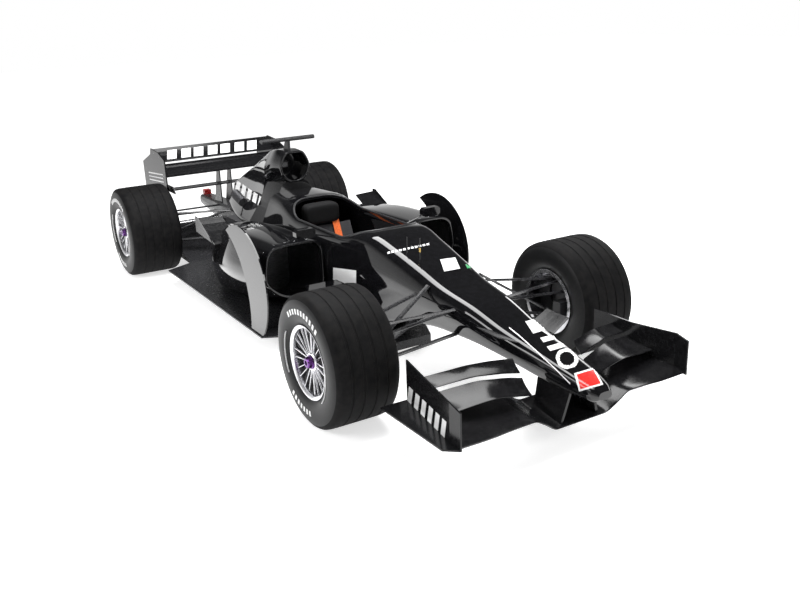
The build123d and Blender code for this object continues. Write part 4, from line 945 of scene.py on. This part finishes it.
# Studio
FLOOR_REACH, FLOOR_GLOW, WORLD_LIGHT = 30, 0.64, 0.50
PURE_WHITE = (1, 1, 1, 1)
pale = bpy.data.materials.new("studio_pale")
pale.use_nodes = True
tree = pale.node_tree
tree.nodes.clear()
# The floor glows for the camera and in reflections only, so that it joins the white background
rays = tree.nodes.new("ShaderNodeLightPath").outputs
shown = worked(tree, "MAXIMUM", rays["Is Camera Ray"], rays["Is Glossy Ray"])
diffuse = node(tree, "ShaderNodeBsdfDiffuse", Color=(0.80, 0.80, 0.80, 1))
glow = node(tree, "ShaderNodeEmission", Color=PURE_WHITE, Strength=worked(tree, "MULTIPLY", shown, FLOOR_GLOW))
both = wired(tree, "ShaderNodeAddShader", diffuse.outputs[0], glow.outputs[0])
node(tree, "ShaderNodeOutputMaterial", Surface=both.outputs[0])
floor_mesh = bpy.data.meshes.new("studio_floor")
floor_corners = [(x * FLOOR_REACH, y * FLOOR_REACH, 0) for x, y in ((-1, -1), (1, -1), (1, 1), (-1, 1))]
floor_mesh.from_pydata(floor_corners, [], [(0, 1, 2, 3)])
placed("studio_floor", floor_mesh, pale, None)

# World: white behind the car, a fade from the horizon up in reflections, and even light elsewhere
world = bpy.data.worlds.new("studio")
bpy.context.scene.world = world
world.use_nodes = True
tree = world.node_tree
tree.nodes.clear()
rays = tree.nodes.new("ShaderNodeLightPath").outputs
coords = tree.nodes.new("ShaderNodeTexCoord").outputs["Generated"]
height = node(tree, "ShaderNodeSeparateXYZ", Vector=coords).outputs["Z"]
fade = node(tree, "ShaderNodeMapRange", Value=height,
            **{"From Min": 0.03, "From Max": 0.34, "To Min": 0.95, "To Max": 0.05})
seen, mirrored, lit = (node(tree, "ShaderNodeBackground", Color=PURE_WHITE, Strength=strength).outputs[0]
                       for strength in (1.0, fade.outputs["Result"], WORLD_LIGHT))
in_gloss = worked(tree, "MAXIMUM", rays["Is Glossy Ray"], rays["Is Transmission Ray"])
unseen = wired(tree, "ShaderNodeMixShader", in_gloss, lit, mirrored).outputs[0]
whole_sky = wired(tree, "ShaderNodeMixShader", rays["Is Camera Ray"], unseen, seen).outputs[0]
node(tree, "ShaderNodeOutputWorld", Surface=whole_sky)


def softbox(name, place, target, wide, tall, power):
    """Rectangular studio lamp that looks at a point."""
    data = bpy.data.lights.new(name, "AREA")
    data.shape = "RECTANGLE"
    data.size, data.size_y, data.energy = wide, tall, power
    lamp = bpy.data.objects.new(name, data)
    bpy.context.scene.collection.objects.link(lamp)
    lamp.location = place
    lamp.rotation_mode = "QUATERNION"
    lamp.rotation_quaternion = (Vector(target) - Vector(place)).to_track_quat("-Z", "Y")


softbox("overhead", (0.0, 0.0, 4.2), (0, 0, 0), 5.0, 2.2, 330)
softbox("side_right", (0.5, -4.5, 2.6), (0, 0, 0.4), 4.0, 1.2, 110)
softbox("side_left", (0.0, 4.5, 2.8), (0, 0, 0.4), 4.0, 1.2, 90)
softbox("ahead", (5.5, 1.5, 2.6), (0.5, 0, 0.4), 2.0, 1.2, 60)

scene = bpy.context.scene
scene.view_settings.view_transform = "Standard"
